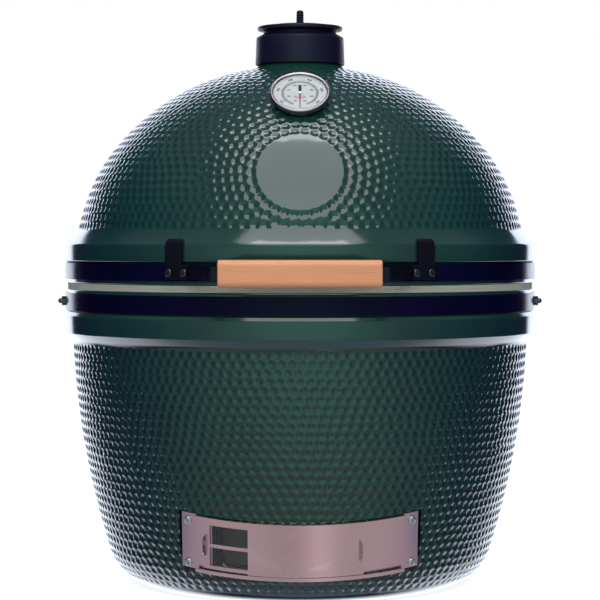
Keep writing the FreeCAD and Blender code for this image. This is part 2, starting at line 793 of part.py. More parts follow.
def handle_bracket_bolts():
    """Button heads outside the bracket, with a hexagon socket in each."""
    bolts = []
    for a in bracket_bolt_angles:
        out = on_circle(1, a)
        head = Part.makeCylinder(band_bolt_head_r, 3.4, on_circle(bracket_out + 0.1, a, grip_z), out)
        tip = [e for e in head.Edges
               if e.CenterOfMass.distanceToPoint(on_circle(bracket_out + 3.5, a, grip_z)) < 0.1]
        head = head.makeFillet(1.8, tip)
        shank = rod(band_bolt_r, on_circle(band_in + 0.1, a, grip_z), on_circle(bracket_out + 1, a, grip_z))
        socket = hexagon(3.6, 3, on_circle(bracket_out + 1.8, a, grip_z), out)
        bolts.append(joined([head, shank]).cut(socket))
    return both_sides(Part.makeCompound(bolts))


def handle_grip():
    """Wooden bar with a slot in each end for the bracket's tongue."""
    half = grip_length / 2
    grip = box(-half, half, grip_y - grip_depth / 2, grip_y + grip_depth / 2,
               grip_z - grip_height / 2, grip_z + grip_height / 2)
    grip = grip.makeFillet(8, edges_along(grip, V(1, 0, 0)))
    ends = [e for e in grip.Edges if abs(abs(e.CenterOfMass.x) - half) < 0.01]
    grip = grip.makeFillet(2.5, ends)
    slot = box(-half - 1, tongue_end_x + 1, grip_y - arm_t / 2 - 0.1, grip_y + arm_t / 2 + 0.1,
               grip_z - arm_height / 2 - 0.1, grip_z + arm_height / 2 + 0.1)
    screw = rod(grip_screw_r, V(grip_screw_x, grip_y - 9, grip_z),
                V(grip_screw_x, grip_y + grip_depth / 2 + 1, grip_z))
    return grip.cut([slot, mirrored(slot), screw, mirrored(screw)])


def handle_screws():
    """Wood screws from behind, through the tongues."""
    back = grip_y + grip_depth / 2
    shank = rod(grip_screw_r - 0.05, V(grip_screw_x, grip_y - 9, grip_z), V(grip_screw_x, back + 1, grip_z))
    head = Part.makeCylinder(4.0, 2.2, V(grip_screw_x, back + 0.05, grip_z), V(0, 1, 0))
    return both_sides(joined([shank, head]))


# ---------------------------------------------------------------- chimney cap
def cap_body():
    body = turned([
        (cap_socket_r, cap_foot[1]), cap_foot, cap_shoulder, (collar_r + 1, cap_slope_top),
        (collar_r, collar_top), (cap_bore, collar_top), (cap_bore, cap_socket_top + 10),
        (cap_bore + 9, cap_socket_top), (cap_socket_r, cap_socket_top)])
    body = rounded(body, cap_foot[0], cap_foot[1], 1.2)
    body = rounded(body, cap_shoulder[0], cap_shoulder[1], 3)
    under, over = collar_top - 11.5, collar_top + 1
    return body.cut(rod(damper_pivot_r, V(0, damper_pivot_y, under), V(0, damper_pivot_y, over)))


def petal_cuts(z0, z1):
    """Six wedge-shaped air openings round the centre."""
    cuts = []
    half = petal_angle / 2
    for i in range(petals):
        a = i * 360 / petals
        cuts.append(sector(petal_inner, petal_outer, a - half, a + half, z0 - 1, z1 + 1))
    return cuts


def damper_plate():
    plate = Part.makeCylinder(damper_r, damper_z[1] - damper_z[0], V(0, 0, damper_z[0]))
    plate = rounded(plate, damper_r, damper_z[0], 2.2)
    plate = rounded(plate, damper_r, damper_z[1], 2.2)
    under, over = damper_z[0] - 1, damper_z[1] + 1
    plate = plate.cut(rod(damper_pivot_r + 0.05, V(0, damper_pivot_y, under), V(0, damper_pivot_y, over)))
    plate = plate.cut(rod(3.0, V(0, 0, under), V(0, 0, over)))
    plate = plate.cut(Part.makeCone(bolt_head_r, 3.0, bolt_head_t, V(0, 0, damper_z[0])))
    return plate.cut(petal_cuts(*damper_z))


def damper_pivot():
    low = collar_top - 11.3
    shank = rod(damper_pivot_r, V(0, damper_pivot_y, low), V(0, damper_pivot_y, damper_z[1] + 2))
    head = hexagon(9, 3.4, V(0, damper_pivot_y, damper_z[1] + 0.4), V(0, 0, 1))
    return joined([shank, head])


def daisy_wheel():
    wheel = Part.makeCylinder(daisy_r, daisy_z[1] - daisy_z[0], V(0, 0, daisy_z[0]))
    wheel = wheel.cut(rod(3.05, V(0, 0, daisy_z[0] - 1), V(0, 0, daisy_z[1] + 1)))
    return wheel.cut(petal_cuts(*daisy_z))


def daisy_knob():
    """Ribbed knob on the wheel, hollow over the bolt."""
    z = daisy_z[1]
    points = [(3.1, z), (knob_r + 1.2, z), (knob_r + 1.2, z + 2)]
    for i in range(knob_ribs):
        low = z + 3.2 + i * knob_rib_pitch
        points += [(knob_r - 1.0, low), (knob_r, low + 0.9), (knob_r, low + 2.2)]
    points += [(knob_r - 1.0, z + 16.8), (knob_r - 0.4, z + 17.6), (knob_r - 0.4, knob_top - 3),
               via(knob_r - 1.4, knob_top - 1.1), (knob_r - 3.4, knob_top), (0, knob_top),
               (0, z + 14.1), (3.1, z + 14.1)]
    return turned(points)


def daisy_bolt():
    """Countersunk bolt from under the damper plate, on which the wheel and knob turn."""
    shank = rod(3.0, V(0, 0, damper_z[0] + 1), V(0, 0, daisy_z[1] + 13.5))
    head = Part.makeCone(bolt_head_r, 3.0, bolt_head_t, V(0, 0, damper_z[0]))
    slot = box(-0.6, 0.6, -6, 6, damper_z[0] - 1, damper_z[0] + 1)
    return joined([shank, head]).cut(slot)


# ---------------------------------------------------------------- thermometer
def dial_turned(points):
    return placed(turned(points), dial_place)


def thermometer_case():
    return dial_turned([(stem_r + 0.1, case_back), (35, case_back), via(37.6, case_back + 1.1),
                        (38.4, case_back + 4), (38.4, 12.3), (37.2, 12.3), (37.2, case_back + 1.5),
                        (stem_r + 0.1, case_back + 1.5)])


def thermometer_bezel():
    return dial_turned([(38.5, 7.5), (39.6, 7.5), (dial_r, 11.5), (dial_r, 14.6), via(40.6, 16.9),
                        (38.2, 17.2), (37.0, 16.6), (38.5, 16.6)])


def thermometer_dial():
    disc = Part.makeCylinder(38.3, 0.8, V(0, 0, 12.4)).cut(Part.makeCylinder(1.2, 3, V(0, 0, 11)))
    return placed(disc, dial_place)


def thermometer_glass():
    return placed(Part.makeCylinder(38.3, 1.0, V(0, 0, 15.5)), dial_place)


def thermometer_pointer():
    """Slim needle towards the bottom of the dial with a broad tail above its hub."""
    needle = [V(-0.9, 0, 13.7), V(0.9, 0, 13.7), V(0.45, -31, 13.7), V(-0.45, -31, 13.7)]
    blade = Part.Face(Part.makePolygon(needle + needle[:1])).extrude(V(0, 0, 0.5))
    tail = box(-2.1, 2.1, 1, 16, 13.7, 14.2)
    hole = Part.makeCylinder(0.9, 4, V(0, 0, 12))
    return placed(joined([blade, tail, Part.makeCylinder(2.6, 0.5, V(0, 0, 13.7))]).cut(hole), dial_place)


def pointer_hub():
    cap = Part.makeCylinder(2.4, 0.7, V(0, 0, 14.25))
    shaft = Part.makeCylinder(0.85, 6, V(0, 0, 8.5))
    return placed(joined([cap, shaft]), dial_place)


def thermometer_stem():
    tube_part = Part.makeCylinder(stem_r, stem_length, V(0, 0, 7.5 - stem_length))
    return placed(tube_part, dial_place)


def thermometer_clip():
    """Spring disc pushed onto the stem against the inside of the dome."""
    ring = turned([(stem_r, -33.5), (14, -31.0), (14, -29.8), (stem_r, -32.3)])
    return placed(ring, dial_place)


def ring_of_felt(z0):
    return tube(gasket_in, gasket_out, z0, z0 + gasket_t)


nodes = {
    "base_ceramic": base_ceramic().cut(vent_screw_holes()),
    "base_gasket": ring_of_felt(base_top),
    "base_band": base_band(),
    "base_band_studs": base_band_studs(),
    "base_band_nuts": base_band_nuts(),
    "base_clamp_bolt": clamp_bolt(sum(base_band_z) / 2),
    "base_clamp_nut": clamp_nut(sum(base_band_z) / 2),
    "firebox": firebox(),
    "fire_ring": fire_ring(),
    "charcoal_grate": charcoal_grate(),
    "cooking_grate": cooking_grate(),
    "vent_frame": vent_frame(),
    "vent_screws": vent_screws(),
    "screen_door": screen_door(),
    "screen_mesh": screen_mesh(),
    "draft_door": draft_door(),
    "base_hinge_bracket": base_hinge_bracket(),
    "base_hinge_bolts": base_hinge_bolts(),
    "hinge_pin": hinge_pin(),
    "hinge_pin_nut": hinge_pin_nut(),
    "hinge_springs": hinge_springs(),
    "spring_eyes": spring_eyes(),
    "spring_nuts": spring_nuts(),
    "lid_ceramic": lid_ceramic(),
    "lid_gasket": ring_of_felt(base_top + gasket_t + gasket_gap),
    "lid_band": lid_band(),
    "lid_band_rivets": lid_band_rivets(),
    "lid_clamp_bolt": clamp_bolt(sum(lid_band_z) / 2),
    "lid_clamp_nut": clamp_nut(sum(lid_band_z) / 2),
    "lid_hinge_bracket": lid_hinge_bracket(),
    "lid_hinge_bolts": lid_hinge_bolts(),
    "lever_bar": lever_bar(),
    "handle_bracket_left": handle_bracket_left(),
    "handle_bracket_right": handle_bracket_right(),
    "handle_bracket_bolts": handle_bracket_bolts(),
    "handle_grip": handle_grip(),
    "handle_screws": handle_screws(),
    "cap_body": cap_body(),
    "cap_gasket": tube(neck_r + 0.1, cap_socket_r - 0.1, 762, neck_top - 4),
    "damper_plate": damper_plate(),
    "damper_pivot": damper_pivot(),
    "daisy_wheel": daisy_wheel(),
    "daisy_knob": daisy_knob(),
    "daisy_bolt": daisy_bolt(),
    "thermometer_case": thermometer_case(),
    "thermometer_bezel": thermometer_bezel(),
    "thermometer_dial": thermometer_dial(),
    "thermometer_glass": thermometer_glass(),
    "thermometer_pointer": thermometer_pointer(),
    "pointer_hub": pointer_hub(),
    "thermometer_stem": thermometer_stem(),
    "thermometer_clip": thermometer_clip(),
}

for name, shape in nodes.items():
    shape.exportStep("parts/" + name + ".step")
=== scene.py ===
import bpy
import json
import math
import numpy as np
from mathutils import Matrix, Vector, kdtree
from mathutils.geometry import delaunay_2d_cdt


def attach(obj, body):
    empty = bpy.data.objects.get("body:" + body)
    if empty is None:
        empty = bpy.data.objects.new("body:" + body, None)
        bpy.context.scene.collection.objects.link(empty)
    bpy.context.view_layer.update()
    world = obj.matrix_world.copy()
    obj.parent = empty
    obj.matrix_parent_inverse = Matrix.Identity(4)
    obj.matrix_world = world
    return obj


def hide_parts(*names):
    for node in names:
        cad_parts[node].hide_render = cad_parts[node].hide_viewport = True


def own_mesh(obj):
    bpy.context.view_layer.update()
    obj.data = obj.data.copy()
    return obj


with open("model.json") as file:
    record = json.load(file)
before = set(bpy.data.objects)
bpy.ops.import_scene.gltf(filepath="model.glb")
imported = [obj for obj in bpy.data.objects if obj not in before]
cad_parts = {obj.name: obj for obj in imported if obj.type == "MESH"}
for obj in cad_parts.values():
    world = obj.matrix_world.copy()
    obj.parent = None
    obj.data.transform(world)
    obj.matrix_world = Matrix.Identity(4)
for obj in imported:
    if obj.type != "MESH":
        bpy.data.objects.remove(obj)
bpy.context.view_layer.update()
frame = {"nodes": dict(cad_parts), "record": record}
rng = np.random.default_rng(7)

# Lengths are millimetres up to the stage; meshes are scaled to metres when they are built.
MM = 0.001
COLUMNS = 180
AROUND = np.arange(COLUMNS) * 2 * math.pi / COLUMNS - math.pi


# ---- profiles of the turned ceramics
def arc_points(centre, radius, a0, a1, step=1.5):
    """Points along an arc in the (r, z) plane, from one angle in degrees to another."""
    count = max(3, int(abs(math.radians(a1 - a0)) * radius / step) + 1)
    angles = np.radians(np.linspace(a0, a1, count))
    return [(centre[0] + radius * math.cos(a), centre[1] + radius * math.sin(a)) for a in angles]


def circle_through(p, q, s):
    """Centre and radius of the circle through three points."""
    sides = np.array([[v[0] - p[0], v[1] - p[1]] for v in (q, s)]) * 2
    squares = np.array([v[0] ** 2 - p[0] ** 2 + v[1] ** 2 - p[1] ** 2 for v in (q, s)])
    centre = np.linalg.solve(sides, squares)
    return centre, math.hypot(*(centre - np.array(p)))


def wrapped(angle):
    """The same angle, between -pi and pi."""
    return (angle + math.pi) % (2 * math.pi) - math.pi


class Profile:
    """A dense line of (r, z) points, with arc length s, tangent (tr, tz) and the conformal height y."""

    def __init__(self, points):
        keep = [points[0]]
        for p in points[1:]:
            if math.dist(p, keep[-1]) > 1e-4:
                keep.append(p)
        line = np.array(keep)
        steps = np.hypot(*np.diff(line, axis=0).T)
        self.s = np.concatenate([[0], np.cumsum(steps)])
        self.r, self.z = line.T
        tangent = np.gradient(line, self.s, axis=0)
        tangent /= np.linalg.norm(tangent, axis=1)[:, None]
        self.tr, self.tz = tangent.T
        middle = (self.r[1:] + self.r[:-1]) / 2
        self.y = np.concatenate([[0], np.cumsum(steps / middle)])
        self.length = self.s[-1]

    def at(self, s):
        """r, z, tangent r, tangent z and y at an arc length."""
        s = np.asarray(s, float)
        return [np.interp(s, self.s, v) for v in (self.r, self.z, self.tr, self.tz, self.y)]

    def point(self, s):
        return tuple(float(v) for v in self.at(s)[:2])

    def s_at_z(self, z):
        order = np.argsort(self.z)
        return float(np.interp(z, self.z[order], self.s[order]))

    def place(self, phi, s, height=0.0):
        """Points on the surface, moved out along the normal (tz, -tr) by height."""
        r, z, tr, tz, _ = self.at(s)
        r = r + height * tz
        z = z - height * tr
        return np.stack([r * np.sin(phi), -r * np.cos(phi), z], axis=-1)

    def split(self, phi, s, move):
        """Moves in space as moves across and along the surface, with r at each place."""
        r, _, tr, tz, _ = self.at(s)
        across = move[:, 0] * np.cos(phi) + move[:, 1] * np.sin(phi)
        outward = move[:, 0] * np.sin(phi) - move[:, 1] * np.cos(phi)
        return across, outward * tr + move[:, 2] * tz, r


DOME_LOW = ((60.8, 468.1), 268.4)
DOME_HIGH = ((21.5, 436.4), 318.8)
DOME_START, DOME_CHANGE = 10.06, 38.96
DOME_END_R = 79.0
WALL = 19.0
# Radii and corners that several outlines share.
LAND_R, BEAD_R = 341.0, 346.0
LID_MOUTH, BORE_TOP = (312, 439.7), (42, 783)


def angle_for_r(arc, r):
    """Angle in degrees at which an arc (centre, radius) has this r."""
    return math.degrees(math.acos((r - arc[0][0]) / arc[1]))


dome_profile = Profile(
    arc_points(*DOME_LOW, DOME_START, DOME_CHANGE)
    + arc_points(*DOME_HIGH, DOME_CHANGE, angle_for_r(DOME_HIGH, DOME_END_R))[1:])

BASE_FOOT, BASE_MID, BASE_TOP, FOOT_ROUND = (262.5, 0.0), (310.0, 168.5), (332.70, 354.6), 75.0
INNER_FOOT, INNER_MID, INNER_TOP, INNER_ROUND = (252.0, 24.0), (290.5, 168.5), (311.0, 350.0), 40.0


def rounded_wall(foot, mid, top, radius):
    """Wall arc through three points with its lower corner rounded: (points, r where the round starts)."""
    centre, wall_r = circle_through(foot, mid, top)
    inner = wall_r - radius
    height = foot[1] + radius
    round_r = centre[0] + math.sqrt(inner ** 2 - (height - centre[1]) ** 2)
    turn = math.degrees(math.atan2(height - centre[1], round_r - centre[0]))
    end = math.degrees(math.atan2(top[1] - centre[1], top[0] - centre[0]))
    points = arc_points((round_r, height), radius, -90, turn) + arc_points(tuple(centre), wall_r, turn, end)
    return points, round_r


base_points, base_foot_flat = rounded_wall(BASE_FOOT, BASE_MID, BASE_TOP, FOOT_ROUND)
base_profile = Profile(base_points)
inner_points, inner_foot_flat = rounded_wall(INNER_FOOT, INNER_MID, INNER_TOP, INNER_ROUND)
inner_profile = Profile(inner_points)


# ---- dimples
# Dimples closer than REACH pitches push each other apart, by PUSH of what is missing at a time.
REACH, PUSH, LONGEST_MOVE = 1.28, 0.22, 3
ROW_GAP, ANY_TURN, DENT_POWER = 0.866, 6.28, 1.4


def tree_of(points):
    """Search tree over points, numbered in their order."""
    tree = kdtree.KDTree(len(points))
    for i, p in enumerate(points):
        tree.insert(p, i)
    tree.balance()
    return tree


def relax(profile, phi, s, pitch, low, high, rounds, keep_out=None):
    """Moves the dimples apart until they lie evenly, as hand-laid dimples in a mould do."""
    reach = pitch * REACH
    for _ in range(rounds):
        points = profile.place(phi, s)
        tree = tree_of(points)
        own, other = [], []
        for i, p in enumerate(points):
            for _, j, _ in tree.find_range(p, reach):
                if j != i:
                    own.append(i)
                    other.append(j)
        own, other = np.array(own), np.array(other)
        apart = points[own] - points[other]
        distance = np.maximum(np.linalg.norm(apart, axis=1), 0.5)
        push = apart * ((reach - distance) / distance * PUSH)[:, None]
        move = np.zeros_like(points)
        np.add.at(move, own, push)
        across, along, r = profile.split(phi, s, move)
        phi = phi + np.clip(across, -LONGEST_MOVE, LONGEST_MOVE) / r
        s = np.clip(s + np.clip(along, -LONGEST_MOVE, LONGEST_MOVE), low, high)
        if keep_out:
            phi, s = keep_out(phi, s)
        phi = wrapped(phi)
    return phi, s


def staggered_rows(profile, pitch, low, high):
    """Dimple places in rows like bricks, each a little off its place: (phi, s)."""
    phi, s = [], []
    rows = max(2, round((high - low) / (pitch * ROW_GAP)))
    for k, level in enumerate(np.linspace(low, high, rows + 1)):
        r = float(profile.at(level)[0])
        count = round(2 * math.pi * r / pitch)
        turn = rng.random() * ANY_TURN / count
        angles = -math.pi + (np.arange(count) + 0.5 * (k % 2)) * 2 * math.pi / count + turn
        phi.extend(angles + rng.normal(0, 0.09 * pitch / r, count))
        s.extend(level + rng.normal(0, 0.07 * pitch, count))
    return np.array(phi), np.array(s)


class Dimples:
    """Round dents on a profile, each as wide as its nearest neighbours allow."""

    def __init__(self, profile, phi, s, pitch, depth, low, high):
        self.profile, self.phi, self.s, self.pitch = profile, phi, s, pitch
        self.points = profile.place(phi, s)
        self.tree = tree_of(self.points)
        radius = []
        for p in self.points:
            near = [d for _, _, d in self.tree.find_n(p, 4)][1:]
            radius.append(min(near[0] * 0.497, sum(near) / 3 * 0.485, pitch * 0.5))
        self.radius = np.array(radius) * rng.uniform(0.95, 1.0, len(phi))
        self.depth = depth * (self.radius / (pitch * 0.47)) * rng.uniform(0.86, 1.08, len(phi))
        fade = np.minimum(s - low, high - s)
        self.depth *= np.clip(0.55 + fade / pitch, 0, 1)

    def height(self, phi, s):
        """Height of the surface at any points: below zero in a dent, otherwise zero."""
        found = np.zeros(len(phi))
        for k, p in enumerate(self.profile.place(phi, s)):
            _, i, distance = self.tree.find(p)
            share = distance / self.radius[i]
            if share < 1:
                found[k] = -self.depth[i] * (1 - share * share) ** DENT_POWER
        return found


def dimple_points(dimples, rings):
    """Rows of (phi, s, height, tilt across, tilt along) at each dent's centre and on rings in it. A ring is
    (share of the radius, number of points)."""
    profile = dimples.profile
    r = profile.at(dimples.s)[0]
    rows = [np.stack([dimples.phi, dimples.s, -dimples.depth, 0 * r, 0 * r], axis=1)]
    for share, count in rings:
        turn = rng.random(len(r)) * ANY_TURN
        height = -dimples.depth * (1 - share ** 2) ** DENT_POWER
        slope = dimples.depth / dimples.radius * 2 * DENT_POWER * share * (1 - share ** 2) ** (DENT_POWER - 1)
        for k in range(count):
            angle = turn + k * 2 * math.pi / count
            s = dimples.s + np.sin(angle) * share * dimples.radius
            phi = dimples.phi + np.cos(angle) * share * dimples.radius / profile.at(s)[0]
            rows.append(np.stack([phi, s, height, slope * np.cos(angle), slope * np.sin(angle)], axis=1))
    return np.concatenate(rows)


def flat_triangles(x, y, edges=()):
    """Triangles over plane points, with the given edges kept."""
    made = delaunay_2d_cdt([Vector(p) for p in zip(x.tolist(), y.tolist())], list(edges), [], 0, 1e-9, False)
    if len(made[0]) != len(x):
        raise ValueError("the triangulation merged or added points")
    return np.array(made[2])


def loop_edges(loop):
    """Pairs of neighbours round a closed loop."""
    return list(zip(loop, loop[1:] + loop[:1]))


def wrapped_triangles(profile, phi, s, loops=(), margin=0.35):
    """Triangles over the unrolled surface, joined across the seam at the back. Loops are lists of vertex
    numbers round holes, which stay open."""
    count = len(phi)
    y = profile.at(s)[4]
    left = np.nonzero(phi < -math.pi + margin)[0]
    right = np.nonzero(phi > math.pi - margin)[0]
    all_phi = np.concatenate([phi, phi[left] + 2 * math.pi, phi[right] - 2 * math.pi])
    all_y = np.concatenate([y, y[left], y[right]])
    number = np.concatenate([np.arange(count), left, right])
    made = flat_triangles(all_phi, all_y, [edge for loop in loops for edge in loop_edges(loop)])
    centre = all_phi[made].mean(axis=1)
    keep = (centre >= -math.pi) & (centre < math.pi)
    middle = np.stack([centre, all_y[made].mean(axis=1)], axis=1)
    for loop in loops:
        keep &= ~inside(middle, np.stack([all_phi[loop], all_y[loop]], axis=1))
    return number[made[keep]]


def inside(points, polygon):
    """True for each point within the closed polygon."""
    found = np.zeros(len(points), bool)
    x, y = points.T
    for (x0, y0), (x1, y1) in zip(polygon, np.roll(polygon, -1, axis=0)):
        if y0 != y1:
            found ^= ((y0 > y) != (y1 > y)) & (x < (x1 - x0) * (y - y0) / (y1 - y0) + x0)
    return found


def grown(loop, factor):
    """A loop made larger about its own middle."""
    return loop.mean(axis=0) + (loop - loop.mean(axis=0)) * factor


def ridge_points(dimples):
    """Points between the dimples: one in each gap of three and one halfway between neighbours. Longer
    triangles lie over the medallion, and have none."""
    phi, s = dimples.phi, dimples.s
    found = {}
    for tri in wrapped_triangles(dimples.profile, phi, s).tolist():
        a = [dimples.points[i] for i in tri]
        sides = [np.linalg.norm(a[i] - a[(i + 1) % 3]) for i in range(3)]
        if max(sides) > dimples.pitch * 1.9:
            continue
        base = phi[tri[0]]
        turned = [base + (phi[i] - base + math.pi) % (2 * math.pi) - math.pi for i in tri]
        found[tuple(sorted(tri))] = (sum(turned) / 3, sum(s[i] for i in tri) / 3)
        for k in range(3):
            i, j = tri[k], tri[(k + 1) % 3]
            ri, rj = dimples.radius[i], dimples.radius[j]
            t = (ri + (sides[k] - ri - rj) / 2) / sides[k]
            found[(min(i, j), max(i, j))] = (phi[i] + wrapped(phi[j] - phi[i]) * t, s[i] + (s[j] - s[i]) * t)
    points = np.array(list(found.values()))
    points[:, 0] = wrapped(points[:, 0])
    return points


# ---- mesh pieces
class Patchwork:
    """Vertices, faces, material numbers and shading normals gathered into one mesh."""

    def __init__(self):
        self.co, self.faces, self.kinds, self.normals, self.pools = [], [], [], [], []
        self.count = 0

    def add(self, points, faces, kind=0, normals=None, pool=None):
        points = np.asarray(points, float)
        self.co.append(points)
        self.faces.extend([[i + self.count for i in f] for f in faces])
        self.kinds.extend([kind] * len(faces))
        self.normals.append(np.zeros_like(points) if normals is None else normals)
        self.pools.append(np.zeros(len(points)) if pool is None else pool)
        self.count += len(points)

    def build(self, name, materials, sharp=38.0):
        co = np.concatenate(self.co) * MM
        normals = np.concatenate(self.normals)
        pools = np.concatenate(self.pools)
        _, first, number = np.unique(np.round(co, 6), axis=0, return_index=True, return_inverse=True)
        number = number.ravel()
        faces, kinds = [], []
        for face, kind in zip(self.faces, self.kinds):
            welded = list(dict.fromkeys(int(number[i]) for i in face))
            if len(welded) > 2:
                faces.append(welded)
                kinds.append(kind)
        mesh = bpy.data.meshes.new(name)
        mesh.from_pydata(co[first].tolist(), [], faces)
        mesh.polygons.foreach_set("material_index", kinds)
        for m in materials:
            mesh.materials.append(m)
        mesh.shade_smooth()
        mesh.set_sharp_from_angle(angle=math.radians(sharp))
        attribute = mesh.attributes.new("pool", "FLOAT", "POINT")
        attribute.data.foreach_set("value", pools[first].astype(np.float32))
        mesh.validate()
        mesh.normals_split_custom_set_from_vertices(normals[first].tolist())
        piece = bpy.data.objects.new(name, mesh)
        bpy.context.scene.collection.objects.link(piece)
        return piece


def strips(rows):
    """Faces between neighbouring closed rows of vertex numbers."""
    faces = []
    for low, high in zip(rows, rows[1:]):
        for i in range(len(low)):
            j = (i + 1) % len(low)
            faces.append(list(dict.fromkeys([low[i], low[j], high[j], high[i]])))
    return faces


def lathe(work, profile, kind=0):
    """Adds a turned surface through (r, z) points, with a single vertex where r is 0."""
    rows, points = [], []
    for r, z in profile:
        if r < 1e-6:
            rows.append([len(points)] * COLUMNS)
            points.append((0, 0, z))
        else:
            rows.append(list(range(len(points), len(points) + COLUMNS)))
            points.extend(zip(r * np.sin(AROUND), -r * np.cos(AROUND), [z] * COLUMNS))
    work.add(np.array(points), strips(rows), kind)


def fillet(centre, radius, a0, a1, step=1.2):
    return arc_points(centre, radius, a0, a1, step)


def plain_rows(phi, s, height=None):
    """Rows like those of dimple_points, for points whose normal is the smooth surface's own."""
    zero = np.zeros(len(phi))
    return np.stack([phi, s, zero if height is None else height, zero, zero], axis=1)


def skin(work, dimples, rings, low, high, loops=(), smooth=None):
    """The dimpled surface from arc length low to high. Loops are arrays of (phi, s) round holes, and
    smooth is an array of (phi, s) points on its undimpled part."""
    data = [dimple_points(dimples, rings), plain_rows(*ridge_points(dimples).T)]
    if smooth is not None:
        data.append(plain_rows(*smooth.T))
    data = np.concatenate(data)
    inner = (data[:, 1] > low + 1.0) & (data[:, 1] < high - 1.0)
    for loop in loops:
        inner &= ~inside(data[:, :2], grown(loop, 1.012))
    data = [data[inner]] + [plain_rows(AROUND, np.full(COLUMNS, level)) for level in (low, high)]
    count = sum(len(rows) for rows in data)
    numbers = []
    for loop in loops:
        data.append(plain_rows(*loop.T, dimples.height(*loop.T)))
        numbers.append(list(range(count, count + len(loop))))
        count += len(loop)
    phi, s, height, across, along = np.concatenate(data).T
    faces = wrapped_triangles(dimples.profile, phi, s, numbers)
    points = dimples.profile.place(phi, s, height)
    _, _, tr, tz, _ = dimples.profile.at(s)
    out = np.stack([tz * np.sin(phi), -tz * np.cos(phi), -tr], axis=1)
    side = np.stack([np.cos(phi), np.sin(phi), 0 * phi], axis=1)
    up = np.stack([tr * np.sin(phi), -tr * np.cos(phi), tz], axis=1)
    normals = out - side * across[:, None] - up * along[:, None]
    normals /= np.linalg.norm(normals, axis=1)[:, None]
    # A zero normal leaves Blender's own, so that the skin's edges match the surfaces that they meet.
    normals[(np.abs(s - low) < 1e-6) | (np.abs(s - high) < 1e-6)] = 0
    for loop in numbers:
        normals[loop] = 0
    work.add(points, faces.tolist(), 0, normals, -height)
    return [points[loop] for loop in numbers]


# ---- lid
MEDALLION_R, MEDALLION_TILT, MEDALLION_RINGS = 59.0, 28.4, 6
DOME_MIDDLE = np.array([0, 0, 440.0])
medal_s = math.radians(MEDALLION_TILT - DOME_START) * DOME_LOW[1]
medal_point = dome_profile.place(np.array([0.0]), np.array([medal_s]))[0]
LID_PITCH, LID_DEPTH = 13.6, 1.15


def around_medallion(phi, s):
    """Pushes dimples out of the smooth medallion on the dome's front."""
    gap = dome_profile.place(phi, s) - medal_point
    distance = np.linalg.norm(gap, axis=1)
    limit = MEDALLION_R + LID_PITCH * 0.5
    near = distance < limit
    short = limit - distance[near]
    direction = gap[near] / np.maximum(distance[near], 1)[:, None]
    across, along, r = dome_profile.split(phi[near], s[near], direction)
    phi[near] = phi[near] + across * short / r
    s[near] = s[near] + along * short
    return phi, s


def medallion_ring(away, spacing, turn=0.0):
    """Evenly spaced points on a ring concentric with the medallion: (phi, s) rows."""
    radius = np.linalg.norm(medal_point - DOME_MIDDLE)
    n = (medal_point - DOME_MIDDLE) / radius
    side = np.array([1.0, 0, 0])
    up = np.cross(side, n)
    lift = np.arctan2(dome_profile.z - DOME_MIDDLE[2], dome_profile.r)
    angle = away / radius
    number = max(1, round(2 * math.pi * radius * math.sin(angle) / spacing))
    t = (np.arange(number) + turn) * 2 * math.pi / number
    d = math.cos(angle) * n + math.sin(angle) * (np.cos(t)[:, None] * side + np.sin(t)[:, None] * up)
    rise = np.arctan2(d[:, 2], np.hypot(d[:, 0], d[:, 1]))
    return np.stack([np.arctan2(d[:, 0], -d[:, 1]), np.interp(rise, lift, dome_profile.s)], axis=1)


def lid_dimples():
    """Rows of dimples, with rings of them round the medallion."""
    low, high = 6.8, dome_profile.length - 7.5
    phi, s = staggered_rows(dome_profile, LID_PITCH, low, high)
    reach = [MEDALLION_R + LID_PITCH * (0.52 + 0.87 * k) for k in range(MEDALLION_RINGS)]
    rings = [medallion_ring(away, LID_PITCH, 0.5 * (k % 2)) for k, away in enumerate(reach)]
    ring_phi, ring_s = np.concatenate(rings).T
    far = np.linalg.norm(dome_profile.place(phi, s) - medal_point, axis=1) > reach[-1] + LID_PITCH * 0.7
    inner = (ring_s > low) & (ring_s < high)
    phi = np.concatenate([phi[far], ring_phi[inner]])
    s = np.concatenate([s[far], ring_s[inner]])
    phi, s = relax(dome_profile, phi, s, LID_PITCH, low, high, 26, around_medallion)
    return Dimples(dome_profile, phi, s, LID_PITCH, LID_DEPTH, 0, dome_profile.length)


